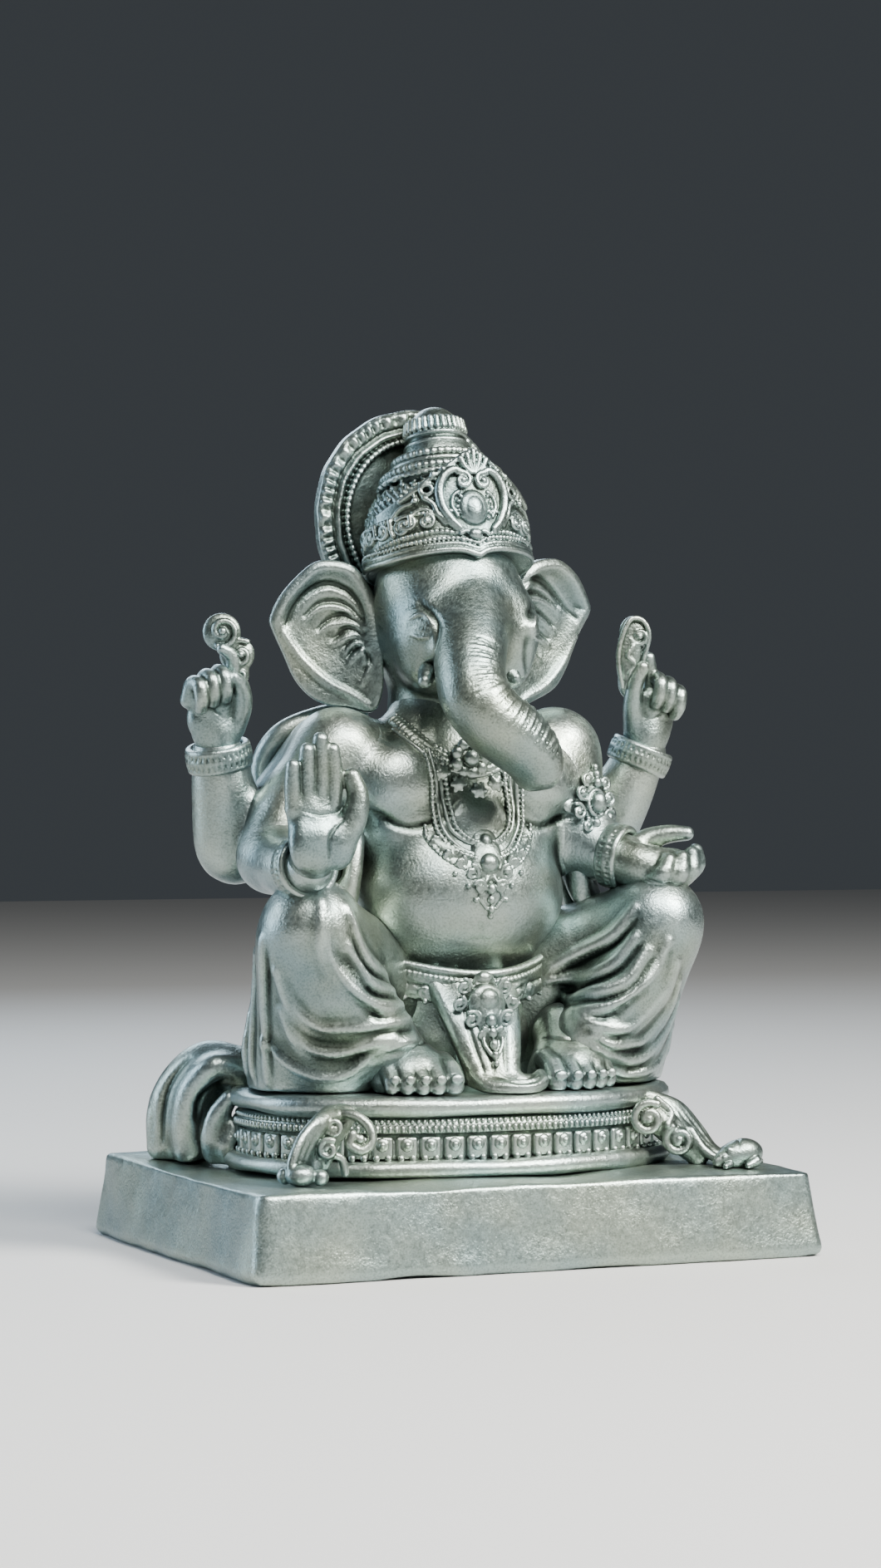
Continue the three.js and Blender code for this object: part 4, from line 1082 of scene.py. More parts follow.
def build_crown_crest():
    """Front gable with paired scrolls round an oval gem, a fan of leaves above and bosses beside."""
    clay = Clay((-28, -28, -5), (28, -2, 33), 0.26)
    half_x, half_y = CROWN_HALF
    x, y, z = clay.coords()
    wall = (np.sqrt((x / (half_x + 0.2)) ** 2 + (y / (half_y + 0.2)) ** 2) - 1) * half_y
    plate = np.maximum(np.maximum(wall, -wall - 3.2), np.maximum(z - crest_top(x), 3.0 + lower_edge(x) - z))
    clay.d = np.minimum(clay.d, np.maximum(plate, y + 5)).astype(np.float32)
    for side in (-1, 1):
        edge = [(1.0 + side * d, float(crest_top(1.0 + side * d)) - 0.9) for d in (0.5, 3, 6, 10, 14, 18, 21)]
        tube(clay, crown_line(edge, 0.4), 0.8)
        for d in np.arange(4.5, 19, 1.5):
            at = 1.0 + side * d
            top = float(crest_top(at)) - 1.4
            clay.limb([(*crown_point(at, top, 0.5), 0.45),
                       (*crown_point(at - side * 0.7, top - 2.1, 0.5), 0.45)], 0.2)
    for side in (-1, 1):
        middle = 0.2
        arm = [(middle + side * a, b) for a,
               b in ((3.2, 21.6), (5.6, 22.6), (8.6, 20.8), (10.4, 16.6), (10.0, 11.6),
                                                   (7.8, 7.2), (5.4, 4.6))]
        line = crown_line(arm, 0.9)
        thick = 0.75 + 0.75 * np.sin(np.linspace(0.3, math.pi - 0.2, len(line)))
        clay.limb(np.column_stack([line, thick]), 0.25)
        curl = spiral((0, 0, 0), (side, 0, 0), (0, 1, 0), 2.7, 1.2, 60)
        tube(clay, np.array([crown_point(middle + side * 3.3 + a, 19.2 + b, 1.1) for a, b, _ in curl]), 0.8)
        clay.ball(crown_point(middle + side * 3.3, 19.2, 1.2), 1.1, 0.2)
        inner = [(middle + side * a, b) for a, b in ((4.6, 16), (6.4, 14.6), (7.0, 11.5), (5.6, 8.4))]
        tube(clay, crown_line(inner, 0.5), 0.5)
        rope(clay, crown_line([(middle + side * a, b) for a, b in ((4.4, 14.6), (5.6, 11.5), (4.2, 8))],
                              0.5), 0.6, 1.3)
        boss = (middle + side * 13.8, 17.0)
        tube(clay, loop(np.array([crown_point(boss[0] + 1.5 * math.cos(t), boss[1] + 1.5 * math.sin(t), 0.7)
                                  for t in np.linspace(0, 2 * math.pi, 12, endpoint=False)])), 0.75)
        clay.ball(crown_point(*boss, 1.2), (0.9, 1.6, 0.9), 0.1, cut=True)
        sweep = [(middle + side * a, b) for a,
                 b in ((14.6, 14.6), (12.4, 12.6), (11.2, 9.2), (8.2, 6.2), (5.6, 3.8))]
        tube(clay, crown_line(sweep, 0.6), 0.8)
        leaf = [(middle + side * a, b) for a, b in ((17.6, 10.6), (15.2, 11.4), (12.2, 9.6), (9.4, 6.2))]
        tube(clay, crown_line(leaf, 0.5), 0.6)
        scroll_on_crown(clay, middle + side * 14.6, 7.4, 2.2, 0.6, 90, hand=side)
        scroll_on_crown(clay, middle + side * 19.6, 7.6, 2.6, 0.6, 40, hand=side)
        tube(clay, crown_line([(middle + side * a, b) for a,
                               b in ((22.4, 5), (22.6, 9), (20.6, 12.6), (17.8, 13.6))],
                              0.5), 0.6)
        clay.ball(crown_point(middle + side * 17, 14.2, 0.8), 1.0, 0.2)
        clay.ball(crown_point(middle + side * 11.6, 21.4, 0.8), 1.1, 0.2)
        clay.ball(crown_point(middle + side * 8.8, 23.0, 0.8), 0.9, 0.2)
    clay.ball(crown_point(-0.3, 11, 0.2), (4.6, 1.8, 5.4), 0.3)
    clay.ball(crown_point(-0.3, 11, 2.1), (3.3, 0.9, 4.1), 0.3, cut=True)
    clay.ball(crown_point(-0.3, 10.8, 1.0), (3.0, 1.4, 3.8), 0.1)
    for i in range(-2, 3):
        root, tip = (0.9 + i * 0.5, 21.6), (1.1 + i * 2.1, 28.4 - abs(i) * 1.2)
        line = crown_line([root, ((root[0] + tip[0]) / 2 + i * 0.25, (root[1] + tip[1]) / 2), tip], 0.8)
        clay.limb(np.column_stack([line, np.linspace(0.5, 1.0, len(line))]), 0.2)
    clay.ball(crown_point(-0.8, 2.6, 1.2), (2.2, 1.5, 1.8), 0.4)
    for side in (-1, 1):
        tube(clay, crown_line([(-0.8 + side * a, b) for a, b in ((0.6, 1.6), (2.6, 3.6), (4.4, 2.8))], 1.0),
             0.7)
        clay.ball(crown_point(-0.8 + side * 3.9, 0.9, 0.8), 0.9, 0.2)
        rope(clay, crown_line([(-0.8 + side * a, b) for a,
                               b in ((5.6, 3.2), (11, 4.2), (19, 3.6), (24, 2.6))], 0.3), 0.75,
             1.4)
    finish(lean_back(skin(clay, "crown_crest_cast")), "ornament_silver", "crown_crest")


def build_crown_dome():
    """Dome with worn floral carving, two rope rings, a plain collar and a fluted knob."""
    clay = Clay((-26, -26, 8), (26, 26, 40), 0.3)
    clay.ball((0, 0, 9), (24.6, 22.0, 19), 0)
    clay.limb([(0, 0, 21, 14.4), (0, 0, 31, 11.2)], 1.5)
    clay.limb([(0, 0, 32, 9.8), (0, 0, 36.5, 9.4)], 1.0)
    clay.field(lambda x, y, z: np.where(z > 37.4, z - 37.4, 0) * 1.0 + 0 * x)
    rope(clay, loop(ring_points((0, -1, 26.4), (0, 0.02, 1), (17.8, 16.2), 48)), 1.45, 1.9)
    tube(clay, loop(ring_points((0, -1, 24.2), (0, 0.02, 1), (19.0, 17.4), 48)), 1.0)
    rope(clay, loop(ring_points((0, 0, 31.8), (0, 0.02, 1), (13.4, 12.6), 40)), 1.45, 1.9)
    tube(clay, loop(ring_points((0, 0, 29.4), (0, 0.02, 1), (14.8, 14.0), 40)), 0.9)
    for count in range(64):
        angle = count * 2.399
        height = 10.5 + (count * 5 % 13)
        size = math.sqrt(max(1 - ((height - 9) / 19) ** 2, 0.05))
        spot = np.array((24.6 * size * math.cos(angle), 22.0 * size * math.sin(angle), height))
        if spot[1] < -15:
            continue
        side = np.array((-math.sin(angle), math.cos(angle), 0))
        up = np.array((-0.45 * math.cos(angle), -0.45 * math.sin(angle), 0.9))
        hand = 1 if count % 2 else -1
        tube(clay, spiral(spot, side * hand, up, 2.3, 1.1, count * 70), 0.7)
        clay.ball(spot, 0.8, 0.2)
        tube(clay, [spot + side * 2.2, spot + side * 3.4 + up * 1.6, spot + side * 2.6 + up * 3.2], 0.6)
    clay.field(lambda x, y, z: 0.35 * np.sin(x * 1.9 + z) * np.sin(y * 2.1 - z * 1.3) * (z < 24))
    clay.keep(before_halo)
    finish(lean_back(skin(clay, "crown_dome_cast")), "ornament_silver", "crown_dome")
    clay = Clay((-13, -13, 34), (13, 13, 52), 0.26)
    clay.limb([(0, 0, 34, 9.2), (0, 0, 39, 9.0)], 0)
    clay.ball((0, 0, 42), (8.2, 8.0, 7.0), 0.3)
    clay.ball((0, 0, 46.4), (4.6, 4.4, 2.8), 1.6)
    tube(clay, loop(ring_points((0, 0, 36.8), (0, 0.02, 1), (9.3, 9.1), 40)), 0.8)
    tube(clay, loop(ring_points((0, 0, 39.4), (0, 0.02, 1), (9.1, 8.9), 40)), 0.7)
    for spot in ring_points((0, 0, 42), (0, 0.02, 1), (9.2, 9.0), 30):
        clay.limb([(spot[0], spot[1], 41.2, 0.85), (spot[0] * 0.95, spot[1] * 0.95, 44.2, 0.8)], 0.15)
    clay.field(lambda x, y, z: np.where(z < 35.6, 35.6 - z, 0) + 0 * x)
    clay.keep(before_halo)
    finish(lean_back(skin(clay, "crown_finial_cast")), "ornament_silver", "crown_finial")


HALO_MIDDLE = (-4.5, 21.5, 218.5)
HALO_HALF = (30.8, 33.2)
HALO_BEADS_IN = 9.4  # from the halo's edge to its row of beads, mm


def build_halo():
    """A shallow dish: fluted outer rim, groove, plain ring and a row of beads round a smooth hollow."""
    middle = np.array(HALO_MIDDLE)
    clay = Clay(middle - (36, 8, 38), middle + (36, 9, 38), 0.33)
    x, y, z = clay.coords(HALO_MIDDLE)
    size = np.sqrt((x / HALO_HALF[0]) ** 2 + (z / HALO_HALF[1]) ** 2)
    turn_angle = np.arctan2(z, x)
    uneven = 0.005 * np.sin(turn_angle * 5 + 1) + 0.004 * np.sin(turn_angle * 17)
    away = (size - 1 - uneven) * 32
    dish = -0.5 - 0.6 * np.exp(-((away + 4) / 7) ** 2) + 1.6 * np.clip(1 - size / 0.8, 0, 1)
    rim = np.clip(2.3 - np.abs(away + 2.6), 0, 0.8) * 1.2
    flutes = 0.7 * np.cos(turn_angle * 52 + 2
                          * np.sin(turn_angle * 9)) * np.clip(1 - np.abs(away + 2.4) / 2.8, 0, 1)
    plain = 1.5 * np.exp(-((away + 6.6) / 0.95) ** 2)
    front = -y - 1.2 - rim - flutes - plain + dish
    clay.d = np.minimum(clay.d,
                        np.maximum(np.maximum(away, front), y - 2.8 + 1.5 * np.clip(size, 0, 1) ** 4)).astype(
        np.float32)
    for angle in np.radians(np.arange(0, 360, 4.5)):
        reach = (HALO_HALF[0] - HALO_BEADS_IN, HALO_HALF[1] - HALO_BEADS_IN)
        clay.ball(middle + (reach[0] * math.cos(angle), -2.6, reach[1] * math.sin(angle)), (1.1, 1.5, 1.1),
                  0.1)
    finish(skin(clay, "halo_cast"), "ornament_silver", "halo")


# ---- jewellery ---------------------------------------------------------------------------------
def body_surface():
    """A coarse copy of the body for ornaments to lie on."""
    if "body" not in SURFACES:
        clay = Clay((-60, -48, 60), (60, 30, 176), 0.8)
        torso_clay(clay, 6.0)
        for points in LIMBS.values():
            clay.limb(points, 6.0, step=2.0)
        SURFACES["body"] = clay
    return SURFACES["body"]


SURFACES = {}


def on_body(points, lift=0.0, step=0.8):
    """[x, z] points laid on the front of the body, as a smooth line."""
    flat = curve(np.array([(x, -40, z) for x, z in points], float), step)
    body = body_surface()
    found = []
    for x, _, z in flat:
        depth = np.arange(-46, 10, 0.5)
        away = body.sample(np.column_stack([np.full(len(depth), x), depth, np.full(len(depth), z)]))
        inside = np.nonzero(away < 0)[0]
        found.append((x, depth[inside[0]] if len(inside) else -10.0, z))
    found = np.array(found)
    smooth = found.copy()
    for _ in range(3):
        smooth[1:-1, 1] = (smooth[:-2, 1] + 2 * smooth[1:-1, 1] + smooth[2:, 1]) / 4
    smooth[:, 1] -= lift
    return smooth


def scroll_on_body(clay, x, z, radius, size, start, hand=1, lift=0.6, turns=1.2):
    middle = on_body([(x - 0.1, z), (x, z), (x + 0.1, z)], lift)[0]
    tube(clay, spiral(middle, (hand, 0, 0), (0, -0.15, 1), radius, turns, start), size)
    clay.ball(middle, size * 1.3, 0.2)


def build_necklaces():
    """Collar, a long double strand and its pendant plate."""
    clay = Clay((-36, -42, 126), (36, 22, 172), 0.3)
    collar = [(-19.6, 158.6), (-17.4, 155.2), (-13.5, 150.8), (-7, 146.6), (0, 145), (7, 147), (13.5, 151.4),
              (17.4, 155.8), (19.6, 159)]
    for shift, size, kind in ((0, 0.8, "rope"), (1.5, 0.7, "plain"), (3.4, 1.0, "rope"), (5.2, 0.7, "plain")):
        line = on_body([(x * (1 + shift / 40), z - shift * 0.8) for x, z in collar], 0.2)
        if kind == "rope":
            rope(clay, line, size, 1.5)
        else:
            tube(clay, line, size)
    line = on_body([(x * (1 + 1.2 / 20), z - 2.0) for x, z in collar], -0.3)
    clay.limb(np.column_stack([line, np.full(len(line), 2.0)]), 0.4, flat=((0, 1, 0), 0.45))
    for x, z in ((-11, 141.5), (-6, 138.2), (0, 136.4), (6, 138.4), (11, 142)):
        flower = on_body([(x - 0.1, z), (x, z), (x + 0.1, z)], 0.4)[0]
        clay.ball(flower, (2.0, 1.3, 2.0), 0.4)
        for angle in np.arange(0, 6.28, 1.047):
            clay.ball(flower + (2.0 * math.cos(angle), 0.1, 2.0 * math.sin(angle)), 0.9, 0.2)
    flower = on_body([(-1.9, 146), (-1.8, 146), (-1.7, 146)], 1.2)[0]
    clay.ball(flower, (2.4, 1.8, 2.4), 0.2)
    for i in range(9):
        angle = 2 * math.pi * i / 9
        clay.ball(flower + (4.6 * math.cos(angle), 0.8, 4.6 * math.sin(angle)), (1.9, 1.2, 1.9), 0.2)
    tube(clay, loop(ring_points(flower + (0, 0.6, 0), (0, 1, 0.01), (2.9, 2.9), 20)), 0.5)
    finish(skin(clay, "collar_necklace_cast"), "ornament_silver", "collar_necklace")

    clay = Clay((-26, -42, 108), (26, -2, 152), 0.28)
    for side in (-1, 1):
        outer = [(side * 15 - 1, 148), (side * 14.6 - 0.5, 140), (side * 14.5, 131), (side * 13.6, 124.5),
                 (side * 9.4, 119),
                 (side * 4, 116.6)]
        inner = [(side * 10 - 1, 146), (side * 9.6 - 0.5, 139), (side * 9.4, 131), (side * 8.2, 125.5),
                 (side * 4.4, 122),
                 (side * 1, 121)]
        rope(clay, on_body(outer, 0.7), 0.85, 1.45)
        tube(clay, on_body([(x - side * 1.6, z + 0.6) for x, z in outer], 0.5), 0.65)
        rope(clay, on_body(inner, 0.7), 0.85, 1.45)
        tube(clay, on_body([(x + side * 1.6, z - 0.4) for x, z in inner], 0.5), 0.65)
        for x, z in ((14.8, 122.5), (12.2, 118.4), (8.6, 115.8)):
            scroll_on_body(clay, side * x, z - 1, 1.5, 0.55, 90, side)
        rope(clay, on_body([(side * 17, 126), (side * 16.4, 121.5), (side * 12.6, 116.4),
                            (side * 7.6, 113.6)], 0.4), 0.7,
             1.3)
    base = on_body([(-16, 122), (-12, 118), (-6, 115), (0, 114), (6, 115), (12, 118), (16, 122)], -0.2)
    clay.limb(np.column_stack([base + (0, 1.0, 1.0), np.full(len(base), 2.4)]), 0.4, flat=((0, 1, 0), 0.4))
    finish(skin(clay, "long_necklace_cast"), "ornament_silver", "long_necklace")

    clay = Clay((-16, -44, 92), (16, -10, 128), 0.26)
    plate = on_body([(0, 121), (0, 116), (0, 110), (0, 104), (0, 101)], -1.2)
    clay.limb(np.column_stack([plate, np.interp(np.arange(len(plate)), (0, len(plate) * 0.45, len(plate) - 1),
                                                (4.6, 6.2, 1.4))]), 0.4, flat=((0, 1, 0), 0.35))
    gem = on_body([(-0.1, 115), (0, 115), (0.1, 115)], 0.8)[0]
    clay.ball(gem, (2.9, 2.2, 2.9), 0.2)
    tube(clay, loop(ring_points(gem + (0, 0.4, 0), (0, 1, 0.01), (3.7, 3.7), 24)), 0.6)
    upper = on_body([(-0.1, 121), (0, 121), (0.1, 121)], 0.9)[0]
    clay.ball(upper, (1.9, 1.6, 2.6), 0.2)
    tube(clay, loop(ring_points(upper + (0, 0.4, 0), (0, 1, 0.01), (2.5, 3.2), 20)), 0.5)
    for side in (-1, 1):
        scroll_on_body(clay, side * 5.6, 112.4, 2.3, 0.65, 90, side)
        scroll_on_body(clay, side * 3.4, 108.2, 2.1, 0.65, 30, side)
        scroll_on_body(clay, side * 8.6, 115.4, 1.9, 0.6, 120, side)
        tube(clay, on_body([(side * 1, 111), (side * 3.6, 105.6), (side * 1.6, 102)], 0.5), 0.65)
        for x, z in ((10.6, 112.2), (7, 108.6), (4.8, 104.4)):
            clay.ball(on_body([(side * x - 0.1, z), (side * x, z), (side * x + 0.1, z)], 0.5)[0], 0.9, 0.2)
    for z, size in ((107.6, 1.5), (104.4, 1.2), (101.6, 1.1), (99.6, 0.9)):
        clay.ball(on_body([(-0.1, z), (0, z), (0.1, z)], 0.7)[0], (size, size, size * 1.15), 0.2)
    finish(skin(clay, "necklace_pendant_cast"), "ornament_silver", "necklace_pendant")


def build_armlet():
    """Flower clasp on the left upper arm, with scrolls and a leaf."""
    middle = np.array((40.5, -17.0, 132.5))
    out, up = np.array((0.28, -0.93, 0.22)), np.array((0.12, 0.20, 0.97))
    side = np.cross(up, out)
    clay = Clay(middle - 15, middle + 15, 0.26)

    def at(a, b, lift=0.0):
        bow = 0.035 * a * a + 0.012 * b * b
        return middle + side * a + up * b + out * (lift - bow)

    clay.limb([(*at(0, -8, -1.2), 3.4), (*at(0, 8, -1.2), 3.0)], 0, flat=(out, 0.5))
    clay.limb([(*at(-8, -1, -1.4), 2.8), (*at(8, -1, -1.4), 2.8)], 0.5, flat=(out, 0.5))
    clay.ball(at(0, 0, 0.6), (2.6, 2.2, 3.2), 0.2)
    tube(clay, loop([at(3.3 * math.cos(t), 4 * math.sin(t), 0.2) for t in np.linspace(0, 6.0, 16)]), 0.65)
    for sign in (-1, 1):
        for x, z, size, start in ((5.2, 2.6, 2.4, 200), (6.2, -3.4, 2.6, 60), (3.0, -7.2, 2.2, 90),
                                  (3.4, 7.0, 2.0, 270)):
            spot = at(sign * x, z, 0.4)
            tube(clay, spiral(spot, side * sign, up, size, 1.25, start), 0.65)
            clay.ball(spot, 0.9, 0.2)
        rope(clay, [at(sign * 8, 0, -0.6), at(sign * 11, -0.6, -1.6), at(sign * 13.4, -1.4, -3)], 0.8, 1.4)
    for z, size in ((6.4, 1.4), (9, 1.3), (11.4, 1.0), (-6.2, 1.5), (-9.4, 1.3), (-11.6, 0.9)):
        clay.ball(at(0, z, 0.2), (size, size, size * 1.2), 0.2)
    finish(skin(clay, "armlet_left_cast"), "ornament_silver", "armlet_left")


# ---- belt, sash and loose cloth ----------------------------------------------------------------
def build_belt():
    """Jewelled waistband under the belly, and the plaque hanging from it."""
    clay = Clay((-36, -42, 68), (36, 10, 96), 0.3)
    lines = {
        "top": [(-31, -3, 91), (-25, -14, 86.5), (-12, -22, 83.4), (0, -24.4, 82.4), (12, -22, 83.6),
                (25, -13, 87.4),
                (31, -3, 91.5)],
    }
    top = np.array(lines["top"], float)
    tube(clay, top + (0, -0.4, 0), 1.3)
    band = curve(top + (0, 0.6, -2.6), 0.8)
    clay.limb(np.column_stack([band, np.full(len(band), 2.8)]), 0.5, flat=((0, 1, 0), 0.6))
    rope(clay, top + (0, -1.0, -2.4), 0.9, 1.5)
    tube(clay, top + (0, -0.8, -4.2), 0.7)
    for i, share in enumerate(np.linspace(0.06, 0.94, 13)):
        spot = curve(top, 0.5)
        spot = spot[int(share * (len(spot) - 1))] + (0, -0.9, -7.0)
        hand = -1 if share < 0.5 else 1
        if abs(spot[0]) < 5:
            continue
        tube(clay, spiral(spot, (hand, 0.4, 0), (0, -0.1, 1), 2.4, 1.25, 90 + 40 * (i % 2)), 0.65)
        clay.ball(spot, 1.0, 0.2)
        clay.ball(spot + (0, -0.1, -3.0), 0.9, 0.2)
    low_band = curve(top + (0, 0.8, -7.0), 0.8)
    clay.limb(np.column_stack([low_band, np.full(len(low_band), 3.0)]), 0.5, flat=((0, 1, 0), 0.5))
    finish(skin(clay, "waist_belt_cast"), "ornament_silver", "waist_belt")

    clay = Clay((-14, -46, 54), (14, -18, 86), 0.26)

    def at(a, z, lift=0.0):
        return np.array((a - 2.2, np.interp(z, (56, 66, 74, 84), (-37.0, -33.6, -31.0, -27.6)) - lift + 0.02
                         * a * a, z))

    clay.limb([(*at(0, 80), 3.6), (*at(0, 74), 6.0), (*at(0, 67), 3.4), (*at(0, 60), 1.6)], 0.4,
              flat=((0, 1, 0), 0.4))
    clay.ball(at(0, 75.4, 1.5), (3.3, 2.3, 3.3), 0.2)
    tube(clay, loop(np.array([at(4.2 * math.cos(t), 75.4 + 4.2 * math.sin(t), 1.2) for t in
                              np.linspace(0, 2 * math.pi, 20, endpoint=False)])), 0.6)
    clay.ball(at(0, 81.6, 1.2), (2.4, 1.5, 1.9), 0.3)
    for side in (-1, 1):
        for x, z, size, start in ((6.6, 79.0, 2.4, 90), (8.6, 74.2, 2.2, 120), (5.6, 69.6, 2.6, 60),
                                  (2.8, 65.4, 1.9, 90)):
            spot = at(side * x, z, 1.2)
            tube(clay, spiral(spot, (side, 0, 0), (0, -0.25, 1), size, 1.3, start), 0.65)
            clay.ball(spot, 0.95, 0.2)
        clay.ball(at(side * 3.6, 71.0, 1.2), 0.9, 0.2)
        tube(clay, [at(side * 1.2, 68.6, 1.2), at(side * 3.0, 63.4, 1.2), at(side * 1.2, 59.6, 1.2)], 0.65)
    for z, size in ((69.2, 1.7), (65.8, 1.5), (62.4, 1.4), (59.4, 1.2), (57.0, 0.9)):
        clay.ball(at(0, z, 1.4), (size, size, size * 1.25), 0.2)
    finish(skin(clay, "belt_pendant_cast"), "ornament_silver", "belt_pendant")


def build_front_sash():
    """A flat sash falling from the belt to the seat, its hem curling up at the idol's left."""
    clay = Clay((-22, -50, SEAT), (24, -12, 86), 0.32)
    for a, b in (((-14, -19, 80), (-8, -33, 56)), ((-8, -22, 79), (-5.6, -34.5, 54)),
                 ((-2, -23.5, 78), (-2.6, -35.5, 53)),
                 ((4, -22.6, 79), (0.4, -36, 53)), ((9, -20, 80), (3.4, -36, 53.6))):
        middle = (np.array(a) + b) / 2 + (0, -1.5, 0)
        clay.limb([(*a, 3.0), (*middle, 2.9), (*b, 2.7)], 3.0, step=1.0)
    clay.limb([(-7.5, -34, 52.4, 2.6), (-4, -39, 50.4, 2.4), (1, -42, 50.2, 2.4), (6.5, -42.5, 50.4, 2.3),
               (11, -40.4, 51.4, 2.2), (12.4, -37, 53.2, 1.8)], 2.0, step=0.8)
    clay.limb([(2, -36, 53, 2.6), (6, -37, 51.4, 2.6), (10, -37, 51.4, 2.2)], 1.5, step=0.8)
    clay.grooves([(-3, -40, 52), (2, -44, 52), (8, -43.5, 52.2), (11.5, -40, 53.6)], 0.5, 0.6)
    for x in (-8, -2.6, 3.6):
        clay.grooves([(x, -27, 74), (x * 0.85 - 1, -33, 64), (x * 0.6 - 1.6, -39, 55)], 0.9, 0.5)
    clay.keep(lambda x, y, z: SEAT + 0.05 - z + 0 * x + 0 * y)
    finish(skin(clay, "front_sash_cast"), "cloth_silver", "front_sash")


def folded(clay, points_list, blend, flat=None):
    """Overlapping rolls of cloth."""
    for points in points_list:
        clay.limb(points, blend, step=1.2, flat=flat)


def build_loose_cloth():
    """Shoulder shawl, the ends hanging at both sides, and the cloth spilling off the seat."""
    clay = Clay((-62, 0, 112), (-12, 46, 170), 0.58)
    folded(clay, [
        [(-24, 15, 160, 3.4), (-35, 19, 158, 3.6), (-46, 22, 153, 3.6), (-51, 25, 144, 3.4),
         (-50, 24, 132, 3.2)],
        [(-24, 19, 156, 4.6), (-36, 23, 152, 4.6), (-44, 26, 143, 4.4), (-46, 26, 130, 4.0)],
        [(-24, 22, 150, 4.6), (-35, 26, 145, 4.6), (-39, 28, 133, 4.2), (-42, 26, 122, 3.6)],
        [(-26, 22, 140, 4.2), (-32, 26, 130, 4.2), (-37, 26, 120, 3.6)],
    ], 1.6)
    finish(skin(clay, "shoulder_cloth_cast"), "cloth_silver", "shoulder_cloth")
    for side, word in ((-1, "right"), (1, "left")):
        s = side
        low, high = sorted((s * 20, s * 62))
        clay = Clay((low, -26, 92), (high, 18, 138), 0.52)
        rolls = []
        for i in range(4):
            drop = i * 4.2
            rolls.append([(s * (33 + i), -4, 128 - drop * 0.7, 2.4),
                          (s * (35 + i * 0.5), -10, 120 - drop, 2.6),
                          (s * (38 + i * 0.6), -12, 110 - drop * 0.7, 2.4),
                          (s * (44 + i * 0.5), -8, 104 - drop * 0.5, 2.2)])
        folded(clay, rolls, 1.2)
        clay.limb([(s * 36, -2, 122, 6), (s * 42, -4, 102, 6)], 1.5)
        finish(skin(clay, f"side_cloth_{word}_cast"), "cloth_silver", f"side_cloth_{word}")
    clay = Clay((-90, 0, SLAB_TOP), (-40, 56, 66), 0.58)
    clay.limb([(-58, 26, 52, 6), (-67, 30, 50, 8), (-71, 34, 40, 8.5), (-71, 36, 31, 8)], 0, step=1.5)
    clay.limb([(-54, 38, 50, 7), (-64, 42, 46, 8), (-68, 44, 36, 8), (-68, 44, 30, 7)], 5, step=1.5)
    folded(clay, [
        [(-60, 20, 52, 3.6), (-68, 20, 54, 3.6), (-73.5, 24, 47, 3.2), (-75, 26, 37, 3.2),
         (-74, 27, 28.4, 3.4)],
        [(-58, 27, 54.5, 3.6), (-67, 30, 56.6, 3.8), (-75, 35, 50, 3.6), (-79.4, 38, 40, 3.4),
         (-79, 39, 29, 3.6)],
        [(-66, 13, 45, 2.6), (-69.5, 15, 40, 2.8), (-70.5, 17, 33, 3.0), (-68.5, 19, 28, 3.0)],
        [(-64, 12, 36, 2.2), (-66.4, 12, 31, 2.4), (-65, 13, 27.6, 2.6)],
    ], 6.5)
    clay.grooves([(-66, 18, 50), (-72, 20, 44), (-73, 20, 34)], 1.2, 0.9)
    clay.grooves([(-72, 28, 55), (-78, 32, 46), (-80, 33, 32)], 1.2, 0.9)
    clay.grooves([(-70, 16, 46), (-73, 18, 38), (-73, 20, 30)], 1.0, 0.6)
    clay.keep(lambda x, y, z: SLAB_TOP + 0.1 - z + 0 * x + 0 * y)
    finish(skin(clay, "seat_cloth_cast"), "cloth_silver", "seat_cloth")


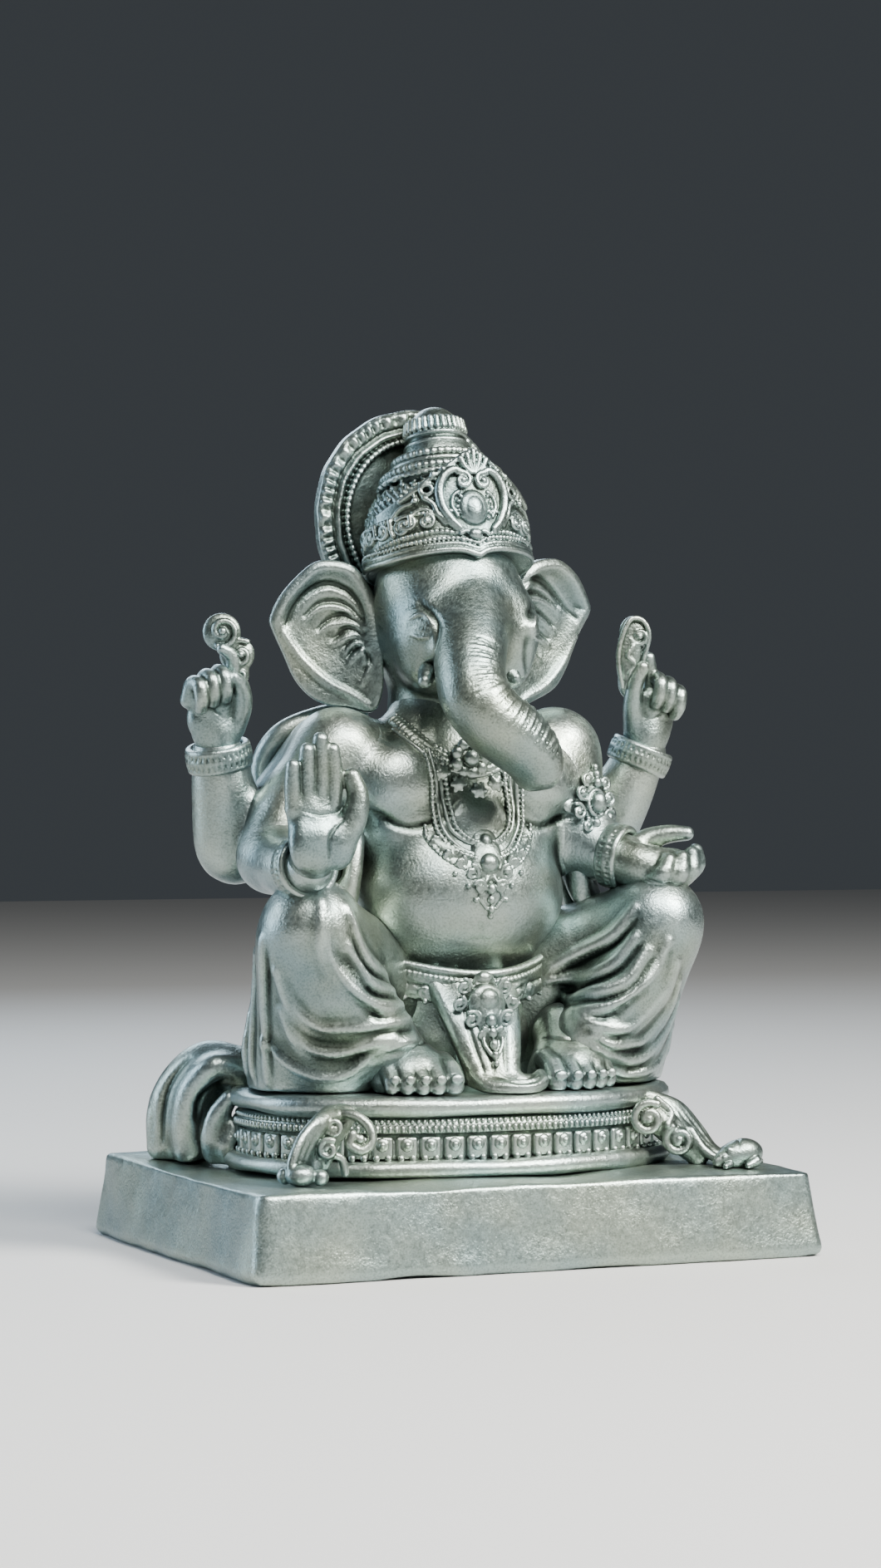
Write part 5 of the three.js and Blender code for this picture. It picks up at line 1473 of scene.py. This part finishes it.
def build_scroll_feet():
    """Leaf brackets at the seat's front corners, ending in curls on the slab."""
    s = -1
    clay = Clay((-76, -58, SLAB_TOP), (-34, -26, 50), 0.3)
    for shift, radius in ((-4.4, 1.5), (-2.2, 1.8), (0, 2.0), (2.2, 1.8), (4.4, 1.5)):
        line = [(-52 + shift * 0.8, -38, 45, radius), (-58 + shift * 0.7, -43 + shift * 0.3, 43, radius),
                (-63 + shift * 0.9, -45 + shift * 0.5, 38, radius),
                (-66.5 + shift * 0.8, -46 + shift * 0.5, 32, radius),
                (-68 + shift * 0.5, -48 + shift * 0.2, 28.4, radius)]
        clay.limb(line, 0.5, step=0.8)
    clay.ball((-67.5, -49, 28.2), (4.6, 3.8, 3.2), 0.8)
    clay.ball((-62.5, -51, 27.6), (2.4, 2.2, 2.4), 0.5)
    clay.ball((-71.5, -46.5, 28), (2.4, 2.2, 2.4), 0.5)
    front = ((0.92, -0.36, 0), (0, 0, 1))
    hook = [(-53, -40, 44.5), (-49, -44, 44), (-46, -46.6, 41), (-45.6, -47.6, 36.8), (-48.6, -47.6, 34.4),
            (-51.8, -46.6, 36.2), (-51, -46.6, 39)]
    tube(clay, hook, 1.5, 0.4)
    clay.ball((-49, -47.2, 37.6), 1.5, 0.4)
    tube(clay, spiral((-58.5, -46.8, 35), *front, 2.9, 1.3, 60), 0.9)
    tube(clay, spiral((-56, -44.6, 41.2), *front, 2.6, 1.3, 200), 0.85)
    tube(clay, [(-58, -43.6, 30), (-57, -45.6, 33), (-54, -45.8, 32), (-53, -46, 28)], 1.2)
    clay.limb([(-50, -36, 43, 4), (-60, -40, 34, 5), (-64, -42, 28, 4.5)], 1.0)
    clay.keep(lambda x, y, z: SLAB_TOP + 0.1 - z + 0 * x + 0 * y)
    finish(skin(clay, "scroll_foot_right_cast"), "ornament_silver", "scroll_foot_right")
    clay = Clay((34, -58, SLAB_TOP), (78, -24, 50), 0.3)
    for shift, radius in ((-3.6, 1.3), (-1.2, 1.6), (1.2, 1.7), (3.6, 1.4)):
        line = [(50 + shift * 0.4, -33, 45.5, radius), (57 + shift * 0.6, -35 + shift * 0.2, 42.5, radius),
                (62 + shift * 0.8, -37 + shift * 0.4, 36, radius),
                (66 + shift * 0.6, -40 + shift * 0.3, 30, radius),
                (70.5 + shift * 0.3, -43, 27.4, radius * 0.9)]
        clay.limb(line, 0.5, step=0.8)
    front = ((0.92, -0.36, 0), (0, 0, 1))
    tube(clay, spiral((45.5, -41.4, 39.5), *front, 5.0, 1.35, 60), 1.3)
    clay.ball((45.5, -41.4, 39.5), 1.6, 0.3)
    tube(clay, spiral((55.6, -41.4, 33), *front, 4.4, 1.35, 120), 1.2)
    clay.ball((55.6, -41.4, 33), 1.5, 0.3)
    tube(clay, [(50, -38, 45), (54, -39, 41), (52, -41, 37.5)], 1.1)
    tube(clay, [(60, -40, 35.5), (63, -42.6, 30), (67, -45, 27.2), (71, -46, 27.6), (72, -45.4, 30)], 1.4,
         0.4)
    clay.limb([(48, -36, 41, 4), (57, -37, 34, 4.5), (63, -39, 28, 3.6)], 1.0)
    clay.keep(lambda x, y, z: SLAB_TOP + 0.1 - z + 0 * x + 0 * y)
    finish(skin(clay, "scroll_foot_left_cast"), "ornament_silver", "scroll_foot_left")


def build_mouse():
    """The small mouse crouching on the slab at the idol's left."""
    clay = Clay((58, -60, SLAB_TOP), (84, -40, 38), 0.26)
    clay.ball((72.5, -50, 29.2), (6.2, 4.4, 4.4), 0)
    clay.ball((69, -50, 28.4), (4.6, 3.8, 3.6), 1.5)
    clay.ball((65.6, -50.6, 27.6), (3.0, 2.5, 2.5), 1.0)
    clay.ball((63.4, -51, 27.0), (1.6, 1.3, 1.4), 0.8)
    for side in (-1, 1):
        clay.ball((66.8, -50.4 + side * 2.0, 30.0), (1.2, 0.7, 1.4), 0.3)
        clay.limb([(66.4, -50.6 + side * 2.6, 26.4, 1.0), (64.4, -51 + side * 3.2, 25.9, 0.9)], 0.4)
        clay.limb([(74.5, -50 + side * 3.8, 27.0, 1.8), (71.5, -50 + side * 4.8, 25.9, 1.0)], 0.5)
        clay.ball((64.8, -50.9 + side * 1.9, 28.5), 0.45, 0.05)
    clay.limb([(78, -49, 27, 0.9), (80, -47, 26.2, 0.8), (79.6, -44.4, 26, 0.6)], 0.4, step=0.5)
    clay.grooves([(69, -54, 31), (70.5, -50, 34), (69.5, -46, 31)], 0.3, 0.3)
    clay.keep(lambda x, y, z: SLAB_TOP + 0.1 - z + 0 * x + 0 * y)
    finish(skin(clay, "mouse_cast"), "skin_silver", "mouse")


# ---- paint -------------------------------------------------------------------------------------
SLAB_PAINTED_LIGHT = 1.4  # the slab's silver is painted brighter than the figure's: painted light standing in for the strong light and broad highlight on the slab


def link(tree, source, target):
    tree.links.new(source, target)


def paint(slot):
    """Silver paint with fine grain, warm and cool mottling, crease darkening that is partly antique wash and
    partly painted shade, and painted highlights on ridges.
    """
    name = slot + "_paint"
    if name in bpy.data.materials:
        return bpy.data.materials[name]
    looks = bpy.context.scene.idol_looks
    material = bpy.data.materials.new(name)
    material.use_nodes = True
    tree = material.node_tree
    shader = tree.nodes["Principled BSDF"]
    place_node = tree.nodes.new("ShaderNodeTexCoord").outputs["Object"]

    def noise_node(scale, detail=3.0):
        node = tree.nodes.new("ShaderNodeTexNoise")
        node.inputs["Scale"].default_value = scale
        node.inputs["Detail"].default_value = detail
        link(tree, place_node, node.inputs["Vector"])
        return node.outputs["Fac"]

    def ramp(source, *stops):
        node = tree.nodes.new("ShaderNodeValToRGB")
        while len(node.color_ramp.elements) < len(stops):
            node.color_ramp.elements.new(0.5)
        for element, (position, color) in zip(node.color_ramp.elements, stops):
            element.position = position
            element.color = (*color, 1)
        link(tree, source, node.inputs["Fac"])
        return node.outputs["Color"]

    def mix(kind, share, first, second):
        node = tree.nodes.new("ShaderNodeMix")
        node.data_type = "RGBA"
        node.blend_type = kind
        if isinstance(share, float):
            node.inputs[0].default_value = share
        else:
            link(tree, share, node.inputs[0])
        link(tree, first, node.inputs[6])
        link(tree, second, node.inputs[7])
        return node.outputs[2]

    # Painted light: the slab gets a brighter copy of the same silver.
    silver = Vector(looks.silver) * (SLAB_PAINTED_LIGHT if slot == "slab_silver" else 1.0)
    mottled = ramp(noise_node(38, 2), (0.35, silver * 0.92 + Vector((-0.03, 0.0, 0.02))),
                   (0.65, silver + Vector((0.03, 0.03, 0.0))))
    grain = ramp(noise_node(looks.grain, 4), (0.32, (0.58, 0.60, 0.59)), (0.50, (0.88, 0.89, 0.88)),
                 (0.70, (1, 1, 1)))
    coat = mix("MULTIPLY", 0.9, mottled, grain)
    crease = tree.nodes.new("ShaderNodeAttribute")
    crease.attribute_name = "crease"
    # Creases painted dark: part antique wash, part painted shade, down to the darkest crease tint.
    wash_and_shade = looks.wash_and_shade
    sunken = ramp(crease.outputs["Fac"], (0.51, (1, 1, 1)), (0.66, (0.42, 0.44, 0.42)), (0.95, tuple(wash_and_shade)))
    coat = mix("MULTIPLY", 1.0, coat, sunken)
    # Painted highlight: ridges and raised edges are made lighter.
    raised = ramp(crease.outputs["Fac"], (0.15, (0.10, 0.11, 0.11)), (0.42, (0, 0, 0)))
    coat = mix("ADD", 1.0, coat, raised)
    link(tree, coat, shader.inputs["Base Color"])
    shader.inputs["Metallic"].default_value = looks.metal
    rough = ramp(noise_node(600, 3), (0.3, (0.29, 0.29, 0.29)), (0.7, (0.41, 0.41, 0.41)))
    link(tree, rough, shader.inputs["Roughness"])
    bump = tree.nodes.new("ShaderNodeBump")
    bump.inputs["Strength"].default_value = 0.6
    bump.inputs["Distance"].default_value = 0.00022
    link(tree, noise_node(looks.grain * 0.8, 4), bump.inputs["Height"])
    soft = tree.nodes.new("ShaderNodeBump")
    soft.inputs["Strength"].default_value = 0.4
    soft.inputs["Distance"].default_value = 0.0004
    link(tree, noise_node(220, 3), soft.inputs["Height"])
    link(tree, bump.outputs["Normal"], soft.inputs["Normal"])
    link(tree, soft.outputs["Normal"], shader.inputs["Normal"])
    return material


# ---- stage -------------------------------------------------------------------------------------
VIEW_TURN = math.radians(23.6)  # the camera stands to the idol's right
VIEW_PITCH = math.radians(0.18)
VIEW_DISTANCE = 1.158
VIEW_SIDE = -0.0031
VIEW_HEIGHT = 0.1419
LENS = 88.6


def build_stage():
    """A pale floor, soft lights and the camera."""
    scene = bpy.context.scene
    looks = scene.idol_looks
    across = Vector((math.cos(VIEW_TURN), -math.sin(VIEW_TURN), 0))
    ahead = Vector((math.sin(VIEW_TURN), math.cos(VIEW_TURN), 0))
    camera = bpy.data.objects.new("camera", bpy.data.cameras.new("camera"))
    camera.data.lens = LENS
    camera.data.clip_start = 0.01
    camera.location = across * VIEW_SIDE - ahead * VIEW_DISTANCE + Vector((0, 0, VIEW_HEIGHT))
    sight = ahead * math.cos(VIEW_PITCH) - Vector((0, 0, math.sin(VIEW_PITCH)))
    camera.rotation_euler = sight.to_track_quat("-Z", "Y").to_euler()
    scene.collection.objects.link(camera)
    scene.camera = camera

    bm = bmesh.new()
    bmesh.ops.create_grid(bm, x_segments=8, y_segments=8, size=3)
    floor = bpy.data.objects.new("floor", mesh_of(bm, "floor"))
    floor_paint = bpy.data.materials.new("floor_paper")
    floor_paint.use_nodes = True
    shader = floor_paint.node_tree.nodes["Principled BSDF"]
    shader.inputs["Base Color"].default_value = (0.46, 0.46, 0.46, 1)
    shader.inputs["Roughness"].default_value = 0.8
    floor.data.materials.append(floor_paint)
    scene.collection.objects.link(floor)

    world = bpy.data.worlds.new("studio")
    world.use_nodes = True
    background = world.node_tree.nodes["Background"]
    background.inputs["Color"].default_value = (0.62, 0.70, 0.78, 1)
    background.inputs["Strength"].default_value = looks.ambient
    scene.world = world

    def lamp(name, place, size, power, color):
        data = bpy.data.lights.new(name, "AREA")
        data.shape = "RECTANGLE"
        data.size, data.size_y = size
        data.energy = power
        data.color = color
        lamp_object = bpy.data.objects.new(name, data)
        lamp_object.location = place
        lamp_object.rotation_euler = (Vector((0, 0, 0.12))
                                      - Vector(place)).to_track_quat("-Z", "Y").to_euler()
        scene.collection.objects.link(lamp_object)

    lamp("key", across * 0.85 - ahead * 0.55 + Vector((0, 0, 0.92)), (0.40, 0.55), looks.key,
         (1.0, 0.98, 0.92))
    lamp("front", across * 0.22 - ahead * 0.80 + Vector((0, 0, 1.12)), (0.55, 0.45), looks.fill * 3.4,
         (1.0, 0.98, 0.94))
    lamp("fill", across * -0.95 + ahead * 0.10 + Vector((0, 0, 0.40)), (0.5, 0.7), looks.fill,
         (0.66, 0.83, 1.0))
    lamp("rim", across * -0.35 + ahead * 0.9 + Vector((0, 0, 0.7)), (0.8, 0.4), looks.fill, (0.70, 0.85, 1.0))


# ---- add-on ------------------------------------------------------------------------------------
class IdolLooks(bpy.types.PropertyGroup):
    """Colours and light that a user would change."""

    silver: bpy.props.FloatVectorProperty(name="Silver", description="Colour of the silver paint",
                                          subtype="COLOR", default=(0.225, 0.262, 0.243), min=0, max=1)
    # Darkest crease tint: the antique wash together with painted shade.
    wash_and_shade: bpy.props.FloatVectorProperty(name="Wash", description="Tint left in the deepest creases",
                                        subtype="COLOR", default=(0.035, 0.042, 0.040), min=0, max=1)
    metal: bpy.props.FloatProperty(name="Metal", description="How metallic the paint looks",
                                   default=0.97, min=0, max=1, subtype="FACTOR")
    grain: bpy.props.FloatProperty(name="Grain", description="Fineness of the paint's grain, per metre",
                                   default=1650, min=100, max=9000)
    ambient: bpy.props.FloatProperty(name="Ambient", description="Strength of the surrounding light",
                                     default=0.07, min=0, max=5)
    key: bpy.props.FloatProperty(name="Key light", description="Power of the main lamp, in watts",
                                 default=62, min=0, max=500)
    fill: bpy.props.FloatProperty(name="Fill light", description="Power of the side and rear lamps, in watts",
                                  default=8, min=0, max=500)


class BuildStep:
    """Runs one building function as an operator."""

    bl_options = {"REGISTER", "UNDO"}

    def execute(self, context):
        self.build()
        return {"FINISHED"}


class IDOL_OT_stage(BuildStep, bpy.types.Operator):
    """Camera, floor and lights"""

    bl_idname = "idol.stage"
    bl_label = "Stage"
    build = staticmethod(build_stage)


class IDOL_OT_slab(BuildStep, bpy.types.Operator):
    """Slab under the seat"""

    bl_idname = "idol.slab"
    bl_label = "Slab"
    build = staticmethod(build_slab)


class IDOL_OT_seat(BuildStep, bpy.types.Operator):
    """Four levels of the oval seat"""

    bl_idname = "idol.seat"
    bl_label = "Seat"
    build = staticmethod(build_seat)


class IDOL_OT_body(BuildStep, bpy.types.Operator):
    """Torso and the four arms"""

    bl_idname = "idol.body"
    bl_label = "Body and arms"
    build = staticmethod(build_body)


class IDOL_OT_head(BuildStep, bpy.types.Operator):
    """Head and trunk"""

    bl_idname = "idol.head"
    bl_label = "Head"
    build = staticmethod(build_head)


class IDOL_OT_legs(BuildStep, bpy.types.Operator):
    """Draped legs"""

    bl_idname = "idol.legs"
    bl_label = "Legs"
    build = staticmethod(build_legs)


class IDOL_OT_feet(BuildStep, bpy.types.Operator):
    """Bare feet"""

    bl_idname = "idol.feet"
    bl_label = "Feet"
    build = staticmethod(build_feet)


class IDOL_OT_scroll_feet(BuildStep, bpy.types.Operator):
    """Leaf brackets at the corners of the seat"""

    bl_idname = "idol.scroll_feet"
    bl_label = "Scroll feet"
    build = staticmethod(build_scroll_feet)


class IDOL_OT_mouse(BuildStep, bpy.types.Operator):
    """Mouse on the slab"""

    bl_idname = "idol.mouse"
    bl_label = "Mouse"
    build = staticmethod(build_mouse)


class IDOL_OT_loose_cloth(BuildStep, bpy.types.Operator):
    """Shawl and hanging cloth"""

    bl_idname = "idol.loose_cloth"
    bl_label = "Loose cloth"
    build = staticmethod(build_loose_cloth)


class IDOL_OT_ears(BuildStep, bpy.types.Operator):
    """Both ears"""

    bl_idname = "idol.ears"
    bl_label = "Ears"
    build = staticmethod(build_ears)


class IDOL_OT_tusks(BuildStep, bpy.types.Operator):
    """Both tusks"""

    bl_idname = "idol.tusks"
    bl_label = "Tusks"
    build = staticmethod(build_tusks)


class IDOL_OT_crown(BuildStep, bpy.types.Operator):
    """Crown band, crest, dome and knob"""

    bl_idname = "idol.crown"
    bl_label = "Crown"
    build = staticmethod(build_crown)


class IDOL_OT_halo(BuildStep, bpy.types.Operator):
    """Dish behind the crown"""

    bl_idname = "idol.halo"
    bl_label = "Halo"
    build = staticmethod(build_halo)


class IDOL_OT_belt(BuildStep, bpy.types.Operator):
    """Waistband and its plaque"""

    bl_idname = "idol.belt"
    bl_label = "Belt"
    build = staticmethod(build_belt)


class IDOL_OT_front_sash(BuildStep, bpy.types.Operator):
    """Sash between the feet"""

    bl_idname = "idol.front_sash"
    bl_label = "Front sash"
    build = staticmethod(build_front_sash)


class IDOL_OT_necklaces(BuildStep, bpy.types.Operator):
    """Collar, long necklace and pendant"""

    bl_idname = "idol.necklaces"
    bl_label = "Necklaces"
    build = staticmethod(build_necklaces)


class IDOL_OT_armlet(BuildStep, bpy.types.Operator):
    """Clasp on the left arm"""

    bl_idname = "idol.armlet"
    bl_label = "Armlet"
    build = staticmethod(build_armlet)


class IDOL_OT_blessing_hand(BuildStep, bpy.types.Operator):
    """Raised right hand"""

    bl_idname = "idol.blessing_hand"
    bl_label = "Blessing hand"
    build = staticmethod(build_blessing_hand)


class IDOL_OT_offering_hand(BuildStep, bpy.types.Operator):
    """Open left hand"""

    bl_idname = "idol.offering_hand"
    bl_label = "Offering hand"
    build = staticmethod(build_offering_hand)


class IDOL_OT_rear_hands(BuildStep, bpy.types.Operator):
    """Both rear hands"""

    bl_idname = "idol.rear_hands"
    bl_label = "Rear hands"
    build = staticmethod(build_rear_hands)


class IDOL_OT_attributes(BuildStep, bpy.types.Operator):
    """What the rear hands hold"""

    bl_idname = "idol.attributes"
    bl_label = "Held attributes"
    build = staticmethod(build_attributes)


class IDOL_OT_bangles(BuildStep, bpy.types.Operator):
    """Four bangles"""

    bl_idname = "idol.bangles"
    bl_label = "Bangles"
    build = staticmethod(build_bangles)


STEPS = (
    IDOL_OT_stage, IDOL_OT_slab, IDOL_OT_seat, IDOL_OT_scroll_feet, IDOL_OT_mouse, IDOL_OT_loose_cloth,
    IDOL_OT_body, IDOL_OT_legs, IDOL_OT_feet, IDOL_OT_head, IDOL_OT_ears, IDOL_OT_tusks, IDOL_OT_crown,
    IDOL_OT_halo, IDOL_OT_belt, IDOL_OT_front_sash, IDOL_OT_necklaces, IDOL_OT_armlet,
    IDOL_OT_blessing_hand, IDOL_OT_offering_hand, IDOL_OT_rear_hands, IDOL_OT_attributes, IDOL_OT_bangles,
)


class IDOL_PT_panel(bpy.types.Panel):
    """Lists the building steps and the looks"""

    bl_idname = "IDOL_PT_panel"
    bl_label = "Ganesha idol"
    bl_space_type = "VIEW_3D"
    bl_region_type = "UI"
    bl_category = "Idol"

    def draw(self, context):
        for step in STEPS:
            self.layout.operator(step.bl_idname)
        for name in IdolLooks.__annotations__:
            self.layout.prop(context.scene.idol_looks, name)


CLASSES = (IdolLooks, *STEPS, IDOL_PT_panel)


def register():
    for cls in CLASSES:
        bpy.utils.register_class(cls)
    bpy.types.Scene.idol_looks = bpy.props.PointerProperty(type=IdolLooks)


def unregister():
    del bpy.types.Scene.idol_looks
    for cls in reversed(CLASSES):
        bpy.utils.unregister_class(cls)


def main():
    register()
    for step in STEPS:
        group, action = step.bl_idname.split(".")
        getattr(getattr(bpy.ops, group), action)()


if __name__ == "__main__":
    main()
